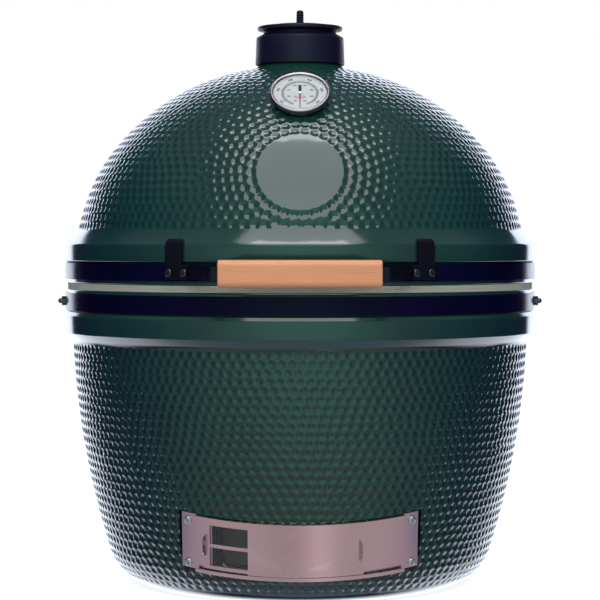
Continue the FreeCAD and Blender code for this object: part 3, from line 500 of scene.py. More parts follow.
def lid_ceramic(materials):
    work = Patchwork()
    disc = [medallion_ring(away, 8.0, 0.37 * away) for away in (0.5, 8, 16, 24, 32, 40, 48, 55)]
    disc.append(medallion_ring(MEDALLION_R - 0.3, 3.2))
    skin(work, lid_dimples(), ((0.42, 6), (0.72, 10), (0.93, 12)), 0.0, dome_profile.length,
         smooth=np.concatenate(disc))
    start = dome_profile.point(0)
    rim = [LID_MOUTH, (338.5, 439.7)] + fillet((338.5, 442.2), 2.5, -90, 0)
    rim += [(LAND_R, 470.3)] + fillet((344.3, 472.7), 1.2, -90, 0, 0.6)
    rim += rounded_corner((345.5, 472.7), (345.5, 495.0), start, 5.0) + [start]
    lathe(work, rim)
    neck = [dome_profile.point(dome_profile.length)]
    neck += arc_points(*DOME_HIGH, angle_for_r(DOME_HIGH, DOME_END_R), angle_for_r(DOME_HIGH, 70.6), 3)[1:]
    neck += fillet((70.0, 761.5), 10.0, 262, 180)
    neck += [(60, 780)] + fillet((57, 780), 3.0, 0, 90) + [BORE_TOP]
    lathe(work, neck)
    low_in, high_in = (DOME_LOW[0], DOME_LOW[1] - WALL), (DOME_HIGH[0], DOME_HIGH[1] - WALL)
    inner = [BORE_TOP] + arc_points(*high_in, angle_for_r(high_in, BORE_TOP[0]), DOME_CHANGE, 9)
    inner += arc_points(*low_in, DOME_CHANGE, DOME_START, 9) + [(LID_MOUTH[0], 461.7), LID_MOUTH]
    lathe(work, inner, 1)
    return work.build("lid_shell", materials)


def rounded_corner(before, corner, after, radius):
    """Arc that rounds a corner between two straight lines, in the (r, z) plane."""
    b, c, a = (np.array(p, float) for p in (before, corner, after))
    u = (b - c) / np.linalg.norm(b - c)
    w = (a - c) / np.linalg.norm(a - c)
    half = math.acos(np.dot(u, w)) / 2
    centre = c + (u + w) / np.linalg.norm(u + w) * radius / math.sin(half)
    a0, a1 = (math.atan2(*(c + way * radius / math.tan(half) - centre)[::-1]) for way in (u, w))
    step = wrapped(a1 - a0)
    return [tuple(centre + radius * np.array([math.cos(a0 + step * t), math.sin(a0 + step * t)]))
            for t in np.linspace(0, 1, 6)]


# ---- base
VENT_TILT, VENT_Z, VENT_R, SEAT_R = math.radians(15.5), 79.5, 298.9, 297.6
VENT_AXIS_Z = VENT_Z + VENT_R * math.sin(VENT_TILT)
SEAT_ANGLE, SEAT_V, WINDOW_CORNER = 33.2, 42.2, 9
BASE_PITCH, BASE_DEPTH = 13.9, 1.4
FOOT_BAND_Z, ASH_WALL_Z = 17.0, 150.0


def vent_point(x, y, v):
    """Point of the vent's own frame, whose axis leans with the wall, in the object's frame."""
    c, s = math.cos(VENT_TILT), math.sin(VENT_TILT)
    return np.array([x, y * c - v * s, y * s + v * c + VENT_AXIS_Z])


def vent_on(r, angle, v):
    """Point at a radius and an angle in degrees about the vent's axis."""
    a = math.radians(angle)
    return vent_point(r * math.sin(a), -r * math.cos(a), v)


def meets(profile, point_at, near, far):
    """Parameter at which a line of points crosses the turned surface, and its (phi, s)."""
    def gap(t):
        p = point_at(t)
        return math.hypot(p[0], p[1]) - profile.point(profile.s_at_z(p[2]))[0]
    low, high = near, far
    rising = gap(high) > gap(low)
    for _ in range(40):
        middle = (low + high) / 2
        if (gap(middle) > 0) == rising:
            high = middle
        else:
            low = middle
    p = point_at(low)
    return low, math.atan2(p[0], -p[1]), profile.s_at_z(p[2])


def rectangle_loop(half_w, half_h, step_w, step_h):
    """Points round a rectangle, anticlockwise from its lower left corner."""
    xs = np.linspace(-half_w, half_w, max(2, round(2 * half_w / step_w)) + 1)
    ys = np.linspace(-half_h, half_h, max(2, round(2 * half_h / step_h)) + 1)
    loop = [(x, -half_h) for x in xs[:-1]] + [(half_w, y) for y in ys[:-1]]
    return loop + [(x, half_h) for x in xs[::-1][:-1]] + [(-half_w, y) for y in ys[::-1][:-1]]


def window_loop():
    """Rounded rectangle of the draught hole in the vent's own plane."""
    loop = []
    for sx, sy, start in ((1, -1, -90), (1, 1, 0), (-1, 1, 90), (-1, -1, 180)):
        for a in np.radians(start + np.linspace(0, 90, 6)):
            loop.append((sx * 96 + WINDOW_CORNER * math.cos(a), sy * 20 + WINDOW_CORNER * math.sin(a)))
    full = []
    for p, q in loop_edges(loop):
        pieces = max(1, int(math.dist(p, q) / 8))
        full.extend((p[0] + (q[0] - p[0]) * t / pieces, p[1] + (q[1] - p[1]) * t / pieces)
                    for t in range(pieces))
    return full


def bridge(work, first, second):
    """Faces between two loops of the same length."""
    work.add(np.concatenate([first, second]), strips(np.arange(2 * len(first)).reshape(2, -1).tolist()))


def vent_seat(work, seat, seat_edge, window, window_edge):
    """Flat-rolled seat of the vent frame, with the draught hole open."""
    plane = [(math.radians(a) * SEAT_R, v) for a, v in seat]
    hole = [(math.asin(x / SEAT_R) * SEAT_R, v) for x, v in window]
    flat = np.array(plane + hole)
    count = len(plane)
    edges = loop_edges(list(range(count))) + loop_edges(list(range(count, len(flat))))
    made = flat_triangles(flat[:, 0], flat[:, 1], edges)
    middle = flat[made].mean(axis=1)
    made = made[inside(middle, flat[:count]) & ~inside(middle, flat[count:])]
    work.add(np.concatenate([seat_edge, window_edge]), made.tolist())


def ash_wall(work, cut, edge, top):
    """Lower part of the bowl's inner wall up to arc length top, round the draught hole. Cut is the hole's
    outline in (phi, s), and edge has the same points in space."""
    levels = np.linspace(0, top, 9)
    phi = np.concatenate([AROUND for _ in levels] + [cut[:, 0]])
    s = np.concatenate([np.full(COLUMNS, level) for level in levels] + [cut[:, 1]])
    keep = ~inside(np.stack([phi, s], axis=1), grown(cut, 1.06))
    keep[-len(cut):] = True
    # Points in even rows lie on common circles, so they are moved a hair apart for the triangulation.
    jitter = np.where((s > 1) & (s < top - 1), 1e-5, 0) * rng.normal(0, 1, len(s))
    jitter[-len(cut):] = 0
    phi, s = phi[keep] + jitter[keep], s[keep]
    loop = list(range(len(phi) - len(cut), len(phi)))
    faces = wrapped_triangles(inner_profile, phi, s, [loop])
    points = inner_profile.place(phi, s)
    points[loop] = edge
    work.add(points, faces[:, ::-1].tolist(), 1)


def base_ceramic(materials):
    work = Patchwork()
    low, high = base_profile.s_at_z(FOOT_BAND_Z), base_profile.length
    phi, s = staggered_rows(base_profile, BASE_PITCH, low + 6.5, high - 7.5)
    phi, s = relax(base_profile, phi, s, BASE_PITCH, low + 6.5, high - 7.2, 22)
    dimples = Dimples(base_profile, phi, s, BASE_PITCH, BASE_DEPTH, low, high)
    seat = rectangle_loop(SEAT_ANGLE, SEAT_V, 1.1, 5)
    cut, seat_edge = [], []
    for a, v in seat:
        t, p, q = meets(base_profile, lambda t, a=a, v=v: vent_on(t, a, v), 285.0, 325.0)
        cut.append((p, q))
        seat_edge.append(vent_on(min(SEAT_R, t), a, v))
    [outline] = skin(work, dimples, ((0.5, 6), (0.87, 11)), low, high, [np.array(cut)])
    bridge(work, seat_edge, outline)
    window = window_loop()
    window_edge, inner_cut, inner_edge = [], [], []
    for x, v in window:
        y = -math.sqrt(SEAT_R ** 2 - x * x)
        window_edge.append(vent_point(x, y, v))
        t, p, q = meets(inner_profile, lambda t, x=x, v=v: vent_point(x, t, v), y + 70, y)
        inner_cut.append((p, q))
        inner_edge.append(vent_point(x, t, v))
    vent_seat(work, seat, seat_edge, window, window_edge)
    bridge(work, inner_edge, window_edge)
    top = inner_profile.s_at_z(ASH_WALL_Z)
    ash_wall(work, np.array(inner_cut), inner_edge, top)
    foot = [(0, 0), (base_foot_flat, 0)] + [base_profile.point(q) for q in np.linspace(0, low, 8)[1:]]
    lathe(work, foot)
    corners = [base_profile.point(high), (335.5, 358), (345.4, 368), (BEAD_R, 374), (BEAD_R, 393.2),
               (LAND_R, 400.1), (LAND_R, 410)]
    bead = [corners[0]]
    for i, radius in ((1, 1.2), (2, 2.0), (4, 1.6), (5, 2.0)):
        bead += rounded_corner(*corners[i - 1:i + 2], radius)
    bead += [corners[-1], (LAND_R, 428.2)]
    bead += fillet((338.5, 428.2), 2.5, 0, 90) + fillet((315, 426.7), 4.0, 90, 180)
    lathe(work, bead)
    inner = [inner_profile.point(q) for q in np.linspace(inner_profile.length, top, 20)[1:]]
    lathe(work, [bead[-1], INNER_TOP] + inner, 1)
    lathe(work, [(inner_foot_flat, INNER_FOOT[1]), (0, INNER_FOOT[1])], 1)
    return work.build("base_shell", materials)


# ---- wires, springs and the dial's scale
def wire(work, path, radius, sides):
    """Round wire along a line of points, closed at both ends."""
    path = np.asarray(path, float)
    tangent = np.gradient(path, axis=0)
    tangent /= np.linalg.norm(tangent, axis=1)[:, None]
    side = np.cross(tangent[0], [0.31, 0.52, 0.79])
    angles = np.arange(sides) * 2 * math.pi / sides
    rings = []
    for place, way in zip(path, tangent):
        side = side - way * np.dot(side, way)
        side /= np.linalg.norm(side)
        other = np.cross(way, side)
        rings.append(place + radius * (np.cos(angles)[:, None] * side + np.sin(angles)[:, None] * other))
    rows = np.arange(len(path) * sides).reshape(-1, sides).tolist()
    work.add(np.concatenate(rings), [rows[0][::-1]] + strips(rows) + [rows[-1]])


WEAVE_R, WEAVE_PITCH, WEAVE_WIRE, WEAVE_CRIMP = 300.3, 2.5, 0.22, 0.25
WEAVE_ANGLES = (-24.1, -3.0)
WEAVE_ROWS = ((-29.5, -2.6), (2.6, 29.5))


def screen_weave(material):
    """Plain-woven wire cloth in the screen door's two windows."""
    work = Patchwork()
    step = math.degrees(WEAVE_PITCH / WEAVE_R)
    angles = np.arange(WEAVE_ANGLES[0], WEAVE_ANGLES[1] + 0.01, step / 2)

    def crimped(count, number):
        return WEAVE_CRIMP * np.sin((np.arange(count) + 2 * number) * math.pi / 2)

    for low, high in WEAVE_ROWS:
        levels = np.arange(low, high + 0.01, WEAVE_PITCH / 2)
        for j, v in enumerate(np.arange(low + WEAVE_PITCH / 2, high, WEAVE_PITCH)):
            weft = [vent_on(WEAVE_R + c, a, v) for a, c in zip(angles, crimped(len(angles), j))]
            wire(work, weft, WEAVE_WIRE, 4)
        for i, a in enumerate(np.arange(WEAVE_ANGLES[0] + step / 2, WEAVE_ANGLES[1], step)):
            warp = [vent_on(WEAVE_R - c, a, v) for v, c in zip(levels, crimped(len(levels), i))]
            wire(work, warp, WEAVE_WIRE, 4)
    return work.build("screen_weave", [material], sharp=80)


BAR_Y, BAR_Z, BAR_R = 402.27, 452.73, 5.0
SPRING_X, SPRING_R, SPRING_WIRE, SPRING_TURNS = 45.0, 11.0, 2.2, 16
SPRING_LOW, SPRING_HIGH, SPRING_FOOT_R = 350.0, 434.5, 6.5
HOOK_R = BAR_R + SPRING_WIRE + 0.1


def spring_path():
    """Tapered foot, close turns and a straight end up to the hook, about the spring's own axis."""
    turns = np.linspace(0, SPRING_TURNS, SPRING_TURNS * 20 + 1)
    radius = np.where(turns < 1, SPRING_FOOT_R + (SPRING_R - SPRING_FOOT_R) * turns, SPRING_R)
    height = SPRING_LOW + (SPRING_HIGH - SPRING_LOW) * turns / SPRING_TURNS
    angle = turns * 2 * math.pi
    coil = np.stack([radius * np.cos(angle), radius * np.sin(angle), height], axis=1)
    start, end = coil[-1], np.array([0, 0, BAR_Z - HOOK_R])
    way_out = (coil[-1] - coil[-2]) / np.linalg.norm(coil[-1] - coil[-2]) * 9
    share = np.linspace(0, 1, 14)[1:, None]
    join = ((1 - share) ** 3 * start + 3 * (1 - share) ** 2 * share * (start + way_out)
            + 3 * (1 - share) * share ** 2 * (end - [0, 0, 4.0]) + share ** 3 * end)
    return np.concatenate([coil, join])


def hook_path():
    """Hook round the lever bar."""
    around = np.radians(np.linspace(120, 450, 34))
    return np.stack([0 * around, -HOOK_R * np.cos(around), BAR_Z + HOOK_R * np.sin(around)], axis=1)


def spring_pair(name, path, material):
    """One wire for each spring, its path mirrored on the other side."""
    work = Patchwork()
    for side in (-1, 1):
        wire(work, path * [side, 1, 1] + [side * SPRING_X, BAR_Y, 0], SPRING_WIRE, 8)
    return work.build(name, [material], sharp=60)


DIAL_PLACE, DIAL_TILT, DIAL_FACE = np.array([0.0, -210.0, 693.5]), math.radians(44.2), 13.2
SCALE_R, SCALE_START, INK = (22.4, 25.4), 22.0, 0.06
OUTER_R, OUTER_START, OUTER_STEP, OUTER_SIZE = 30.6, 52.7, 50.9, 4.8
INNER_R, INNER_SIZE = 17.4, 3.9


def on_dial(points):
    """Moves (x, y, height) points from the dial's own frame to the object's."""
    x, y, h = np.asarray(points, float).T
    c, s = math.cos(DIAL_TILT), math.sin(DIAL_TILT)
    return np.stack([x, y * c - h * s, y * s + h * c], axis=1) + DIAL_PLACE


def round_dial(r, angle, height=0.0):
    """Point at an angle that grows clockwise from the bottom of the dial."""
    a = math.radians(angle)
    return (-r * math.sin(a), -r * math.cos(a), DIAL_FACE + height)


def printed_sector(work, r0, r1, a0, a1, kind, steps=1):
    """Thin printed patch between two radii and two angles."""
    angles = np.linspace(a0, a1, steps + 1)
    points = [round_dial(r, a, height) for height in (0.0, INK) for a in angles for r in (r0, r1)]
    top, end = 2 * (steps + 1), 2 * steps
    faces = []
    for i in range(0, end, 2):
        faces += [[top + i, top + i + 1, top + i + 3, top + i + 2], [i + 2, i + 3, i + 1, i],
                  [i + 1, i + 3, top + i + 3, top + i + 1], [i + 2, i, top + i, top + i + 2]]
    faces += [[0, 1, top + 1, top], [end + 1, end, top + end, top + end + 1]]
    work.add(on_dial(points), faces, kind)


def printed_number(work, text, size, r, angle, turned):
    """A plain number on the dial, upright or turned to face the centre."""
    curve = bpy.data.curves.new("number", "FONT")
    curve.body = text
    curve.size = size
    curve.align_x = curve.align_y = "CENTER"
    curve.extrude = curve.offset = INK
    curve.resolution_u = 3
    holder = bpy.data.objects.new("number", curve)
    bpy.context.scene.collection.objects.link(holder)
    bpy.context.view_layer.update()
    mesh = bpy.data.meshes.new_from_object(holder)
    flat = np.array([v.co[:] for v in mesh.vertices])
    faces = [list(f.vertices) for f in mesh.polygons]
    bpy.data.objects.remove(holder)
    bpy.data.curves.remove(curve)
    bpy.data.meshes.remove(mesh)
    turn = math.radians(180 - angle) if turned else 0.0
    x = flat[:, 0] * math.cos(turn) - flat[:, 1] * math.sin(turn)
    y = flat[:, 0] * math.sin(turn) + flat[:, 1] * math.cos(turn)
    middle = round_dial(r, angle)
    work.add(on_dial(np.stack([x + middle[0], y + middle[1], flat[:, 2] + middle[2] + INK], axis=1)), faces)


def dial_scale(ink, tint):
    """Graduations, two rings of numbers and a tinted sector."""
    work = Patchwork()
    end = 360 - SCALE_START
    for angle in np.linspace(SCALE_START, end, 121):
        printed_sector(work, *SCALE_R, angle - 0.55, angle + 0.55, 0)
    for r in SCALE_R:
        printed_sector(work, r - 0.2, r + 0.2, SCALE_START - 0.6, end + 0.6, 0, 90)
    for k in range(6):
        angle = OUTER_START + OUTER_STEP * k
        printed_sector(work, SCALE_R[1], SCALE_R[1] + 2.4, angle - 0.7, angle + 0.7, 0)
        printed_number(work, str(100 + 100 * k), OUTER_SIZE, OUTER_R, angle, True)
    for k in range(8):
        angle = SCALE_START + (end - SCALE_START) / 7 * k
        printed_number(work, str(50 + 50 * k), INNER_SIZE, INNER_R, angle, False)
    printed_sector(work, 6.5, 11.5, -52, 52, 1, 24)
    return work.build("dial_scale", [ink, tint], sharp=30)


# ---- materials
class Nodes:
    """Short ways to add nodes to a tree."""

    def __init__(self, tree, coords):
        self.tree = tree
        self.coords = self.node("ShaderNodeTexCoord").outputs[coords]

    def node(self, kind, inputs=None, **settings):
        made = self.tree.nodes.new(kind)
        for key, value in settings.items():
            setattr(made, key, value)
        for key, value in (inputs or {}).items():
            if isinstance(value, bpy.types.NodeSocket):
                self.tree.links.new(value, made.inputs[key])
            else:
                made.inputs[key].default_value = value
        return made

    def stretched(self, scale):
        return self.node("ShaderNodeMapping", {"Vector": self.coords, "Scale": scale}).outputs[0]

    def noise(self, scale, detail=3.0, rough=0.5, coords=None, distortion=0.0):
        values = {"Vector": coords or self.coords, "Scale": scale, "Detail": detail, "Roughness": rough,
                  "Distortion": distortion}
        return self.node("ShaderNodeTexNoise", values).outputs["Fac"]

    def ramp(self, value, stops):
        made = self.node("ShaderNodeValToRGB", {"Fac": value})
        while len(made.color_ramp.elements) < len(stops):
            made.color_ramp.elements.new(0.5)
        for element, (place, colour) in zip(made.color_ramp.elements, stops):
            element.position = place
            element.color = (*colour, 1)
        return made.outputs["Color"]

    def mixed(self, share, first, second):
        """Mixes two colours, each given as (r, g, b) or as a socket."""
        sides = [side if isinstance(side, bpy.types.NodeSocket) else (*side, 1) for side in (first, second)]
        return self.node("ShaderNodeMix", {0: share, 6: sides[0], 7: sides[1]}, data_type="RGBA").outputs[2]

    def ranged(self, value, low, high, from_low=0.0, from_high=1.0, **settings):
        return self.node("ShaderNodeMapRange", {"Value": value, "From Min": from_low, "From Max": from_high,
                                                "To Min": low, "To Max": high}, **settings).outputs["Result"]

    def arithmetic(self, operation, *values):
        return self.node("ShaderNodeMath", dict(enumerate(values)), operation=operation).outputs[0]


class Shader(Nodes):
    """A Principled material with its pattern nodes."""

    def __init__(self, name, **values):
        self.material = bpy.data.materials.new(name)
        self.material.use_nodes = True
        super().__init__(self.material.node_tree, "Object")
        self.shader = self.tree.nodes["Principled BSDF"]
        for key, value in values.items():
            self.shader.inputs[key.replace("_", " ")].default_value = value

    def colour(self, socket):
        self.tree.links.new(socket, self.shader.inputs["Base Color"])

    def roughness(self, socket):
        self.tree.links.new(socket, self.shader.inputs["Roughness"])

    def bump(self, height, strength, distance):
        made = self.node("ShaderNodeBump", {"Height": height, "Strength": strength, "Distance": distance})
        self.tree.links.new(made.outputs["Normal"], self.shader.inputs["Normal"])


def shade(colour, factor):
    return tuple(c * factor for c in colour)


def coated(name, tones, mottle, rough, wear, grain, relief, spread=0.7, **values):
    """A material whose colour, roughness and relief each follow a noise of their own: mottle, wear and
    grain, each as (scale, detail, roughness). Rough is (low, high) and relief is (strength, distance)."""
    m = Shader(name, **values)
    m.colour(m.ramp(m.noise(*mottle), [(0.3, tones[0]), (spread, tones[1])]))
    m.roughness(m.ranged(m.noise(*wear), *rough))
    m.bump(m.noise(*grain), *relief)
    return m.material


def glaze():
    """Deep green glaze, darker where it pools in the dimples."""
    m = Shader("green_glaze", IOR=1.52, Coat_Weight=0.0)
    cloud = m.noise(4.5, 4, 0.55)
    body = m.ramp(cloud, [(0.3, (0.0030, 0.024, 0.018)), (0.7, (0.0055, 0.034, 0.026))])
    pool = m.node("ShaderNodeAttribute", attribute_name="pool").outputs["Fac"]
    deep = m.ranged(pool, 0.0, 0.55, 0.0, 1.2)
    colour = m.mixed(deep, body, (0.0016, 0.015, 0.012))
    speck = m.ranged(m.noise(900, 2, 0.6), 0.0, 0.35, 0.62, 0.8)
    m.colour(m.mixed(speck, colour, (0.001, 0.008, 0.006)))
    m.roughness(m.ranged(m.noise(60, 3, 0.6), 0.07, 0.14))
    m.bump(m.noise(260, 3, 0.5), 0.12, 0.0004)
    return m.material


def fireclay(name, light, dark):
    """Bare fired clay with dark grains."""
    m = Shader(name, IOR=1.45)
    cloud = m.noise(9, 5, 0.6)
    colour = m.ramp(cloud, [(0.32, dark), (0.68, light)])
    grains = m.ranged(m.noise(1400, 2, 0.7), 0.0, 0.55, 0.58, 0.74)
    m.colour(m.mixed(grains, colour, shade(dark, 0.45)))
    m.roughness(m.ranged(m.noise(300, 3, 0.6), 0.80, 0.94))
    m.bump(m.noise(700, 5, 0.65), 0.35, 0.0008)
    return m.material


def painted_steel(name, colour, rough, grain, strength, shine):
    """Powder coat: a fine orange-peel skin with a little wear in its sheen."""
    return coated(name, (shade(colour, 0.8), shade(colour, 1.25)), (14, 4, 0.6), (rough - 0.05, rough + 0.09),
                  (45, 4, 0.6), (grain, 2, 0.5), (strength, 0.0003), 0.72, IOR=1.5, Specular_IOR_Level=shine)


def felt():
    """Wool felt: pale and dark strands."""
    m = Shader("felt", Roughness=0.95, IOR=1.3, Sheen_Weight=0.5, Sheen_Roughness=0.5)
    strands = m.noise(900, 5, 0.75, distortion=1.5)
    m.colour(m.ramp(strands, [(0.3, (0.16, 0.14, 0.115)), (0.5, (0.33, 0.295, 0.24)),
                              (0.72, (0.52, 0.47, 0.39))]))
    m.bump(m.noise(1300, 5, 0.8, distortion=1.0), 0.9, 0.0012)
    return m.material


def wood():
    """Oiled hardwood with its grain along the grip."""
    m = Shader("grip_wood", IOR=1.46)
    wander = m.noise(9, 3, 0.55, coords=m.stretched((1.0, 9.0, 9.0)), distortion=0.6)
    waves = {"Vector": m.stretched((0.55, 3.2, 4.4)), "Scale": 26.0, "Distortion": 7.5, "Detail": 3.0,
             "Detail Scale": 1.1, "Detail Roughness": 0.6}
    rings = m.node("ShaderNodeTexWave", waves, wave_type="BANDS", bands_direction="Z").outputs["Fac"]
    tone = m.ramp(wander, [(0.25, (0.46, 0.178, 0.087)), (0.55, (0.52, 0.214, 0.107)),
                           (0.8, (0.58, 0.250, 0.128))])
    lines = m.ramp(rings, [(0.0, (0.42, 0.158, 0.073)), (0.42, (0.53, 0.220, 0.109)),
                           (1.0, (0.56, 0.242, 0.122))])
    colour = m.mixed(0.5, tone, lines)
    pores = m.noise(620, 3, 0.7, coords=m.stretched((0.07, 1.0, 1.0)))
    marks = m.ranged(pores, 0.0, 0.6, 0.60, 0.78)
    m.colour(m.mixed(marks, colour, (0.23, 0.09, 0.035)))
    m.roughness(m.ranged(pores, 0.40, 0.62, 0.3, 0.75))
    m.bump(pores, 0.35, 0.0004)
    return m.material


def brushed(name, colour, rough):
    """Brushed metal: fine lines along X, in its sheen and its surface."""
    m = Shader(name, Metallic=1.0, Anisotropic=0.55)
    lines = m.noise(28.0, 5, 0.7, coords=m.stretched((1, 60, 60)))
    m.colour(m.ramp(lines, [(0.3, shade(colour, 0.86)), (0.7, colour)]))
    wide = m.ranged(lines, rough - 0.07, rough + 0.08, 0.25, 0.75)
    m.roughness(m.arithmetic("ADD", wide, m.ranged(m.noise(18, 3, 0.6), -0.03, 0.06)))
    m.bump(lines, 0.06, 0.0003)
    return m.material


def plated(name, colour, rough):
    """Plated or bare steel, slightly uneven."""
    return coated(name, (shade(colour, 0.88), colour), (70, 4, 0.6), (rough - 0.03, rough + 0.10),
                  (160, 4, 0.65), (1100, 2, 0.5), (0.05, 0.0002), Metallic=1.0)


def cast_iron():
    return coated("cast_iron", ((0.012, 0.012, 0.013), (0.035, 0.034, 0.034)), (30, 5, 0.65), (0.5, 0.8),
                  (240, 4, 0.6), (800, 4, 0.65), (0.6, 0.0008), IOR=1.5, Metallic=0.35)


def cast_cap():
    """Matt black coating over a casting."""
    return coated("cap_coat", ((0.0035, 0.0030, 0.0120), (0.0070, 0.0055, 0.0190)), (22, 4, 0.6),
                  (0.36, 0.52), (90, 4, 0.6), (1500, 3, 0.6), (0.3, 0.0004), IOR=1.5, Specular_IOR_Level=0.16)


def enamel(name, colour, rough, shine=0.5):
    """Smooth paint or ink."""
    return coated(name, (shade(colour, 0.93), colour), (60, 3, 0.6), (rough - 0.05, rough + 0.06),
                  (200, 3, 0.6), (2500, 2, 0.5), (0.04, 0.0002), IOR=1.5, Specular_IOR_Level=shine)


def pane():
    """Flat glass: clear, with its own reflection."""
    material = bpy.data.materials.new("dial_pane")
    material.use_nodes = True
    tree = material.node_tree
    tree.nodes.clear()
    clear = tree.nodes.new("ShaderNodeBsdfTransparent")
    gloss = tree.nodes.new("ShaderNodeBsdfGlossy")
    gloss.inputs["Roughness"].default_value = 0.02
    edge = tree.nodes.new("ShaderNodeFresnel")
    edge.inputs["IOR"].default_value = 1.2
    mix = tree.nodes.new("ShaderNodeMixShader")
    out = tree.nodes.new("ShaderNodeOutputMaterial")
    for i, end in enumerate((edge, clear, gloss)):
        tree.links.new(end.outputs[0], mix.inputs[i])
    tree.links.new(mix.outputs[0], out.inputs[0])
    return material


materials = {
    "glaze": glaze(),
    "fireclay": fireclay("fireclay", (0.50, 0.44, 0.36), (0.36, 0.31, 0.25)),
    "inner_clay": fireclay("inner_clay", (0.42, 0.38, 0.33), (0.29, 0.26, 0.22)),
    "felt": felt(),
    "band_black": painted_steel("band_black", (0.0016, 0.0012, 0.0140), 0.14, 1500, 0.05, 0.07),
    "fitting_black": painted_steel("fitting_black", (0.0018, 0.0019, 0.0055), 0.30, 1800, 0.18, 0.16),
    "zinc": plated("zinc", (0.62, 0.62, 0.60), 0.32),
    "black_bolt": plated("black_bolt", (0.075, 0.07, 0.08), 0.2),
    # The stainless is tinted pink as a painted reflection of warm surroundings below the vent, not as the
    # steel's own colour.
    "stainless": brushed("stainless", (0.68, 0.53, 0.54), 0.22),
    "grate_rod": brushed("grate_rod", (0.55, 0.54, 0.52), 0.28),
    "iron": cast_iron(),
    "cap_black": cast_cap(),
    "grip_wood": wood(),
    "spring_steel": plated("spring_steel", (0.35, 0.35, 0.36), 0.25),
    "chrome": plated("chrome", (0.30, 0.27, 0.275), 0.24),
    "dial_white": enamel("dial_white", (0.35, 0.365, 0.37), 0.45),
    "pointer_black": enamel("pointer_black", (0.006, 0.006, 0.007), 0.5, 0.1),
    "hub_white": enamel("hub_white", (0.72, 0.72, 0.72), 0.35),
    "dial_glass": pane(),
    "mesh_wire": plated("mesh_wire", (0.34, 0.30, 0.32), 0.3),
    "dial_ink": enamel("dial_ink", (0.022, 0.020, 0.026), 0.5, 0.1),
    "dial_tint": enamel("dial_tint", (0.45, 0.22, 0.27), 0.5),
}
slots = {row["node"]: row["material_slot"] for row in frame["record"]["subparts"]}
for name, slot in slots.items():
    held = frame["nodes"][name].data.materials
    held.clear()
    held.append(materials[slot])

# ---- pieces
lid_shell = lid_ceramic([materials["glaze"], materials["inner_clay"]])
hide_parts("lid_ceramic")
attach(lid_shell, "lid")
base_shell = base_ceramic([materials["glaze"], materials["inner_clay"]])
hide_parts("base_ceramic")
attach(base_shell, "base")
weave = screen_weave(materials["mesh_wire"])
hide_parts("screen_mesh")
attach(weave, "screen")
coils = spring_pair("hinge_coils", spring_path(), materials["spring_steel"])
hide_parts("hinge_springs")
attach(coils, "base")
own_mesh(coils)
hooks = spring_pair("hinge_hooks", hook_path(), materials["spring_steel"])
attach(hooks, "lid")
scale = dial_scale(materials["dial_ink"], materials["dial_tint"])
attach(scale, "lid")


# ---- stage, light and camera
def stage_floor():
    """Pale floor that shows behind the object, but is not mirrored in it."""
    mesh = bpy.data.meshes.new("floor")
    side = 14.0
    corners = [(-side, -side, 0), (side, -side, 0), (side, side, 0), (-side, side, 0)]
    mesh.from_pydata(corners, [], [(0, 1, 2, 3)])
    floor = bpy.data.objects.new("floor", mesh)
    bpy.context.scene.collection.objects.link(floor)
    m = Shader("floor", Roughness=0.9, Specular_IOR_Level=0.0, Emission_Color=(1, 1, 1, 1),
               Emission_Strength=0.85)
    m.colour(m.ramp(m.noise(2.0, 2, 0.5), [(0.3, (0.86, 0.86, 0.86)), (0.7, (0.88, 0.88, 0.88))]))
    mesh.materials.append(m.material)
    floor.visible_glossy = False
    floor.visible_diffuse = False


def softbox(name, place, aim, size, power, mirrored=True):
    """Rectangular lamp; one that is not mirrored lights the object without showing in its surfaces."""
    light = bpy.data.lights.new(name, "AREA")
    light.shape = "RECTANGLE"
    light.size, light.size_y = size
    light.energy = power
    lamp = bpy.data.objects.new(name, light)
    lamp.location = place
    lamp.rotation_mode = "QUATERNION"
    lamp.rotation_quaternion = (Vector(aim) - Vector(place)).to_track_quat("-Z", "Y")
    lamp.visible_camera = False
    lamp.visible_glossy = mirrored
    bpy.context.scene.collection.objects.link(lamp)


# Metres from here on.
# Brightness of the room by direction, from straight in front of the object (0) to straight behind it (1).
ROOM = [(0.0, (0.70, 1.25, 1.12)), (0.067, (0.50, 0.78, 0.74)), (0.18, (0.29, 0.33, 0.44)),
        (0.355, (0.13, 0.16, 0.30)), (0.525, (0.055, 0.07, 0.20)), (0.71, (0.03, 0.025, 0.11)),
        (0.87, (0.025, 0.02, 0.07)), (0.895, (0.05, 0.05, 0.10)), (0.918, (2.9, 3.1, 3.7)),
        (0.96, (2.2, 2.35, 2.7)), (0.985, (1.5, 1.6, 1.8)), (1.0, (0.92, 0.98, 1.08))]
ROOM_STRENGTH = 4.5
SKY_GLOW = (0.32, 0.29, 0.37)
GROUND_GLOW = (0.50, 0.42, 0.45)
TABLE_GLOW = (0.60, 0.72, 0.95)
BACK_FLOOR = (2.3, 2.45, 2.75)
# Strength of the glow on the ground in front, from the left (0) to the right (1).
GROUND_STRIPS = [(0.0, 1.2), (0.3, 1.1), (0.46, 0.88), (0.52, 0.90), (0.56, 1.85), (0.60, 1.95),
                 (0.65, 0.98), (0.8, 1.12), (1.0, 1.25)]
EYE, LOOK_DOWN = (0, -3.33, 0.4985), 1.47


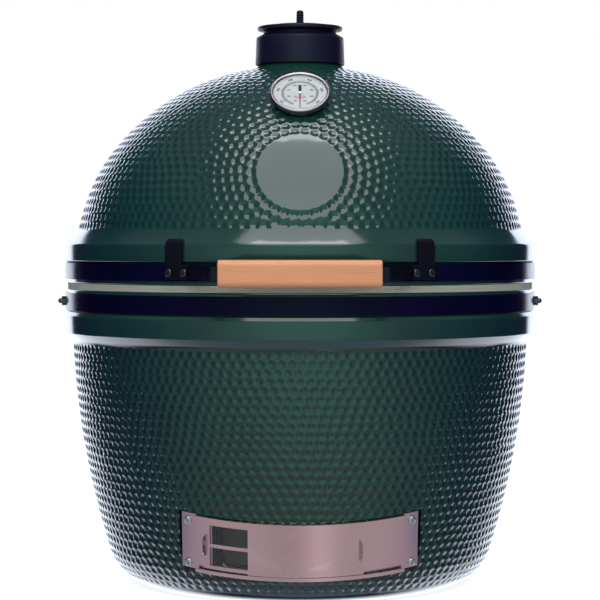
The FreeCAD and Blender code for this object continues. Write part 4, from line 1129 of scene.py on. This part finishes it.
def surroundings():
    """A white studio: bright behind the object, dim in front and dark at the sides."""
    world = bpy.data.worlds.new("studio")
    bpy.context.scene.world = world
    world.use_nodes = True
    world.node_tree.nodes.clear()
    w = Nodes(world.node_tree, "Generated")
    split = w.node("ShaderNodeSeparateXYZ", {0: w.coords})
    x, y, z = (split.outputs[axis] for axis in "XYZ")
    lit = w.ramp(w.ranged(y, 0.0, 1.0, -1.0),
                 [(place, shade(colour, 1 / ROOM_STRENGTH)) for place, colour in ROOM])
    strips = w.ramp(w.ranged(x, 0.0, 1.0, -1.0),
                    [(place, shade(GROUND_GLOW, share / ROOM_STRENGTH)) for place, share in GROUND_STRIPS])
    aside = w.arithmetic("ABSOLUTE", x)
    table, back = (shade(colour, 1 / ROOM_STRENGTH) for colour in (TABLE_GLOW, BACK_FLOOR))
    # Each glow lies over the room where all its masks are open: (direction, closed at, fully open at).
    for colour, masks in ((shade(SKY_GLOW, 1 / ROOM_STRENGTH), ((z, 0.45, 0.85), (y, 0.7, 0.4))),
                          (strips, ((z, -0.40, -0.52), (y, 0.06, -0.28))),
                          (table, ((z, -0.80, -0.95),)),
                          (back, ((z, -0.36, -0.52), (y, 0.05, 0.5), (aside, 0.2, 0.45))),
                          (back, ((z, -0.10, -0.24), (y, 0.60, 0.80)))):
        smooth = [w.ranged(value, 0.0, 1.0, start, end, interpolation_type="SMOOTHSTEP")
                  for value, start, end in masks]
        share = smooth[0]
        for other in smooth[1:]:
            share = w.arithmetic("MULTIPLY", share, other)
        lit = w.mixed(share, lit, colour)
    room = w.node("ShaderNodeBackground", {"Color": lit, "Strength": ROOM_STRENGTH}).outputs[0]
    white = w.node("ShaderNodeBackground", {"Color": (1, 1, 1, 1), "Strength": 1.0}).outputs[0]
    camera_ray = w.node("ShaderNodeLightPath").outputs["Is Camera Ray"]
    mix = w.node("ShaderNodeMixShader", {0: camera_ray, 1: room, 2: white}).outputs[0]
    w.node("ShaderNodeOutputWorld", {0: mix})


stage_floor()
surroundings()
softbox("key_front", (0, -1.30, 2.21), (0, -0.29, 0.60), (1.56, 2.2), 35)
softbox("key_above", (0, -0.355, 2.35), (0, -0.355, 0.50), (0.96, 0.39), 6.4)
softbox("fill_front", (0, -3.4, 2.0), (0, 0, 0.4), (2.0, 1.2), 57, mirrored=False)
camera = bpy.data.objects.new("camera", bpy.data.cameras.new("camera"))
camera.data.lens = 135.6
camera.data.sensor_width = 36.0
camera.data.clip_end = 60
camera.location = EYE
camera.rotation_euler = (math.radians(90 - LOOK_DOWN), 0, 0)
bpy.context.scene.collection.objects.link(camera)
bpy.context.scene.camera = camera
bpy.context.scene.view_settings.view_transform = "Standard"
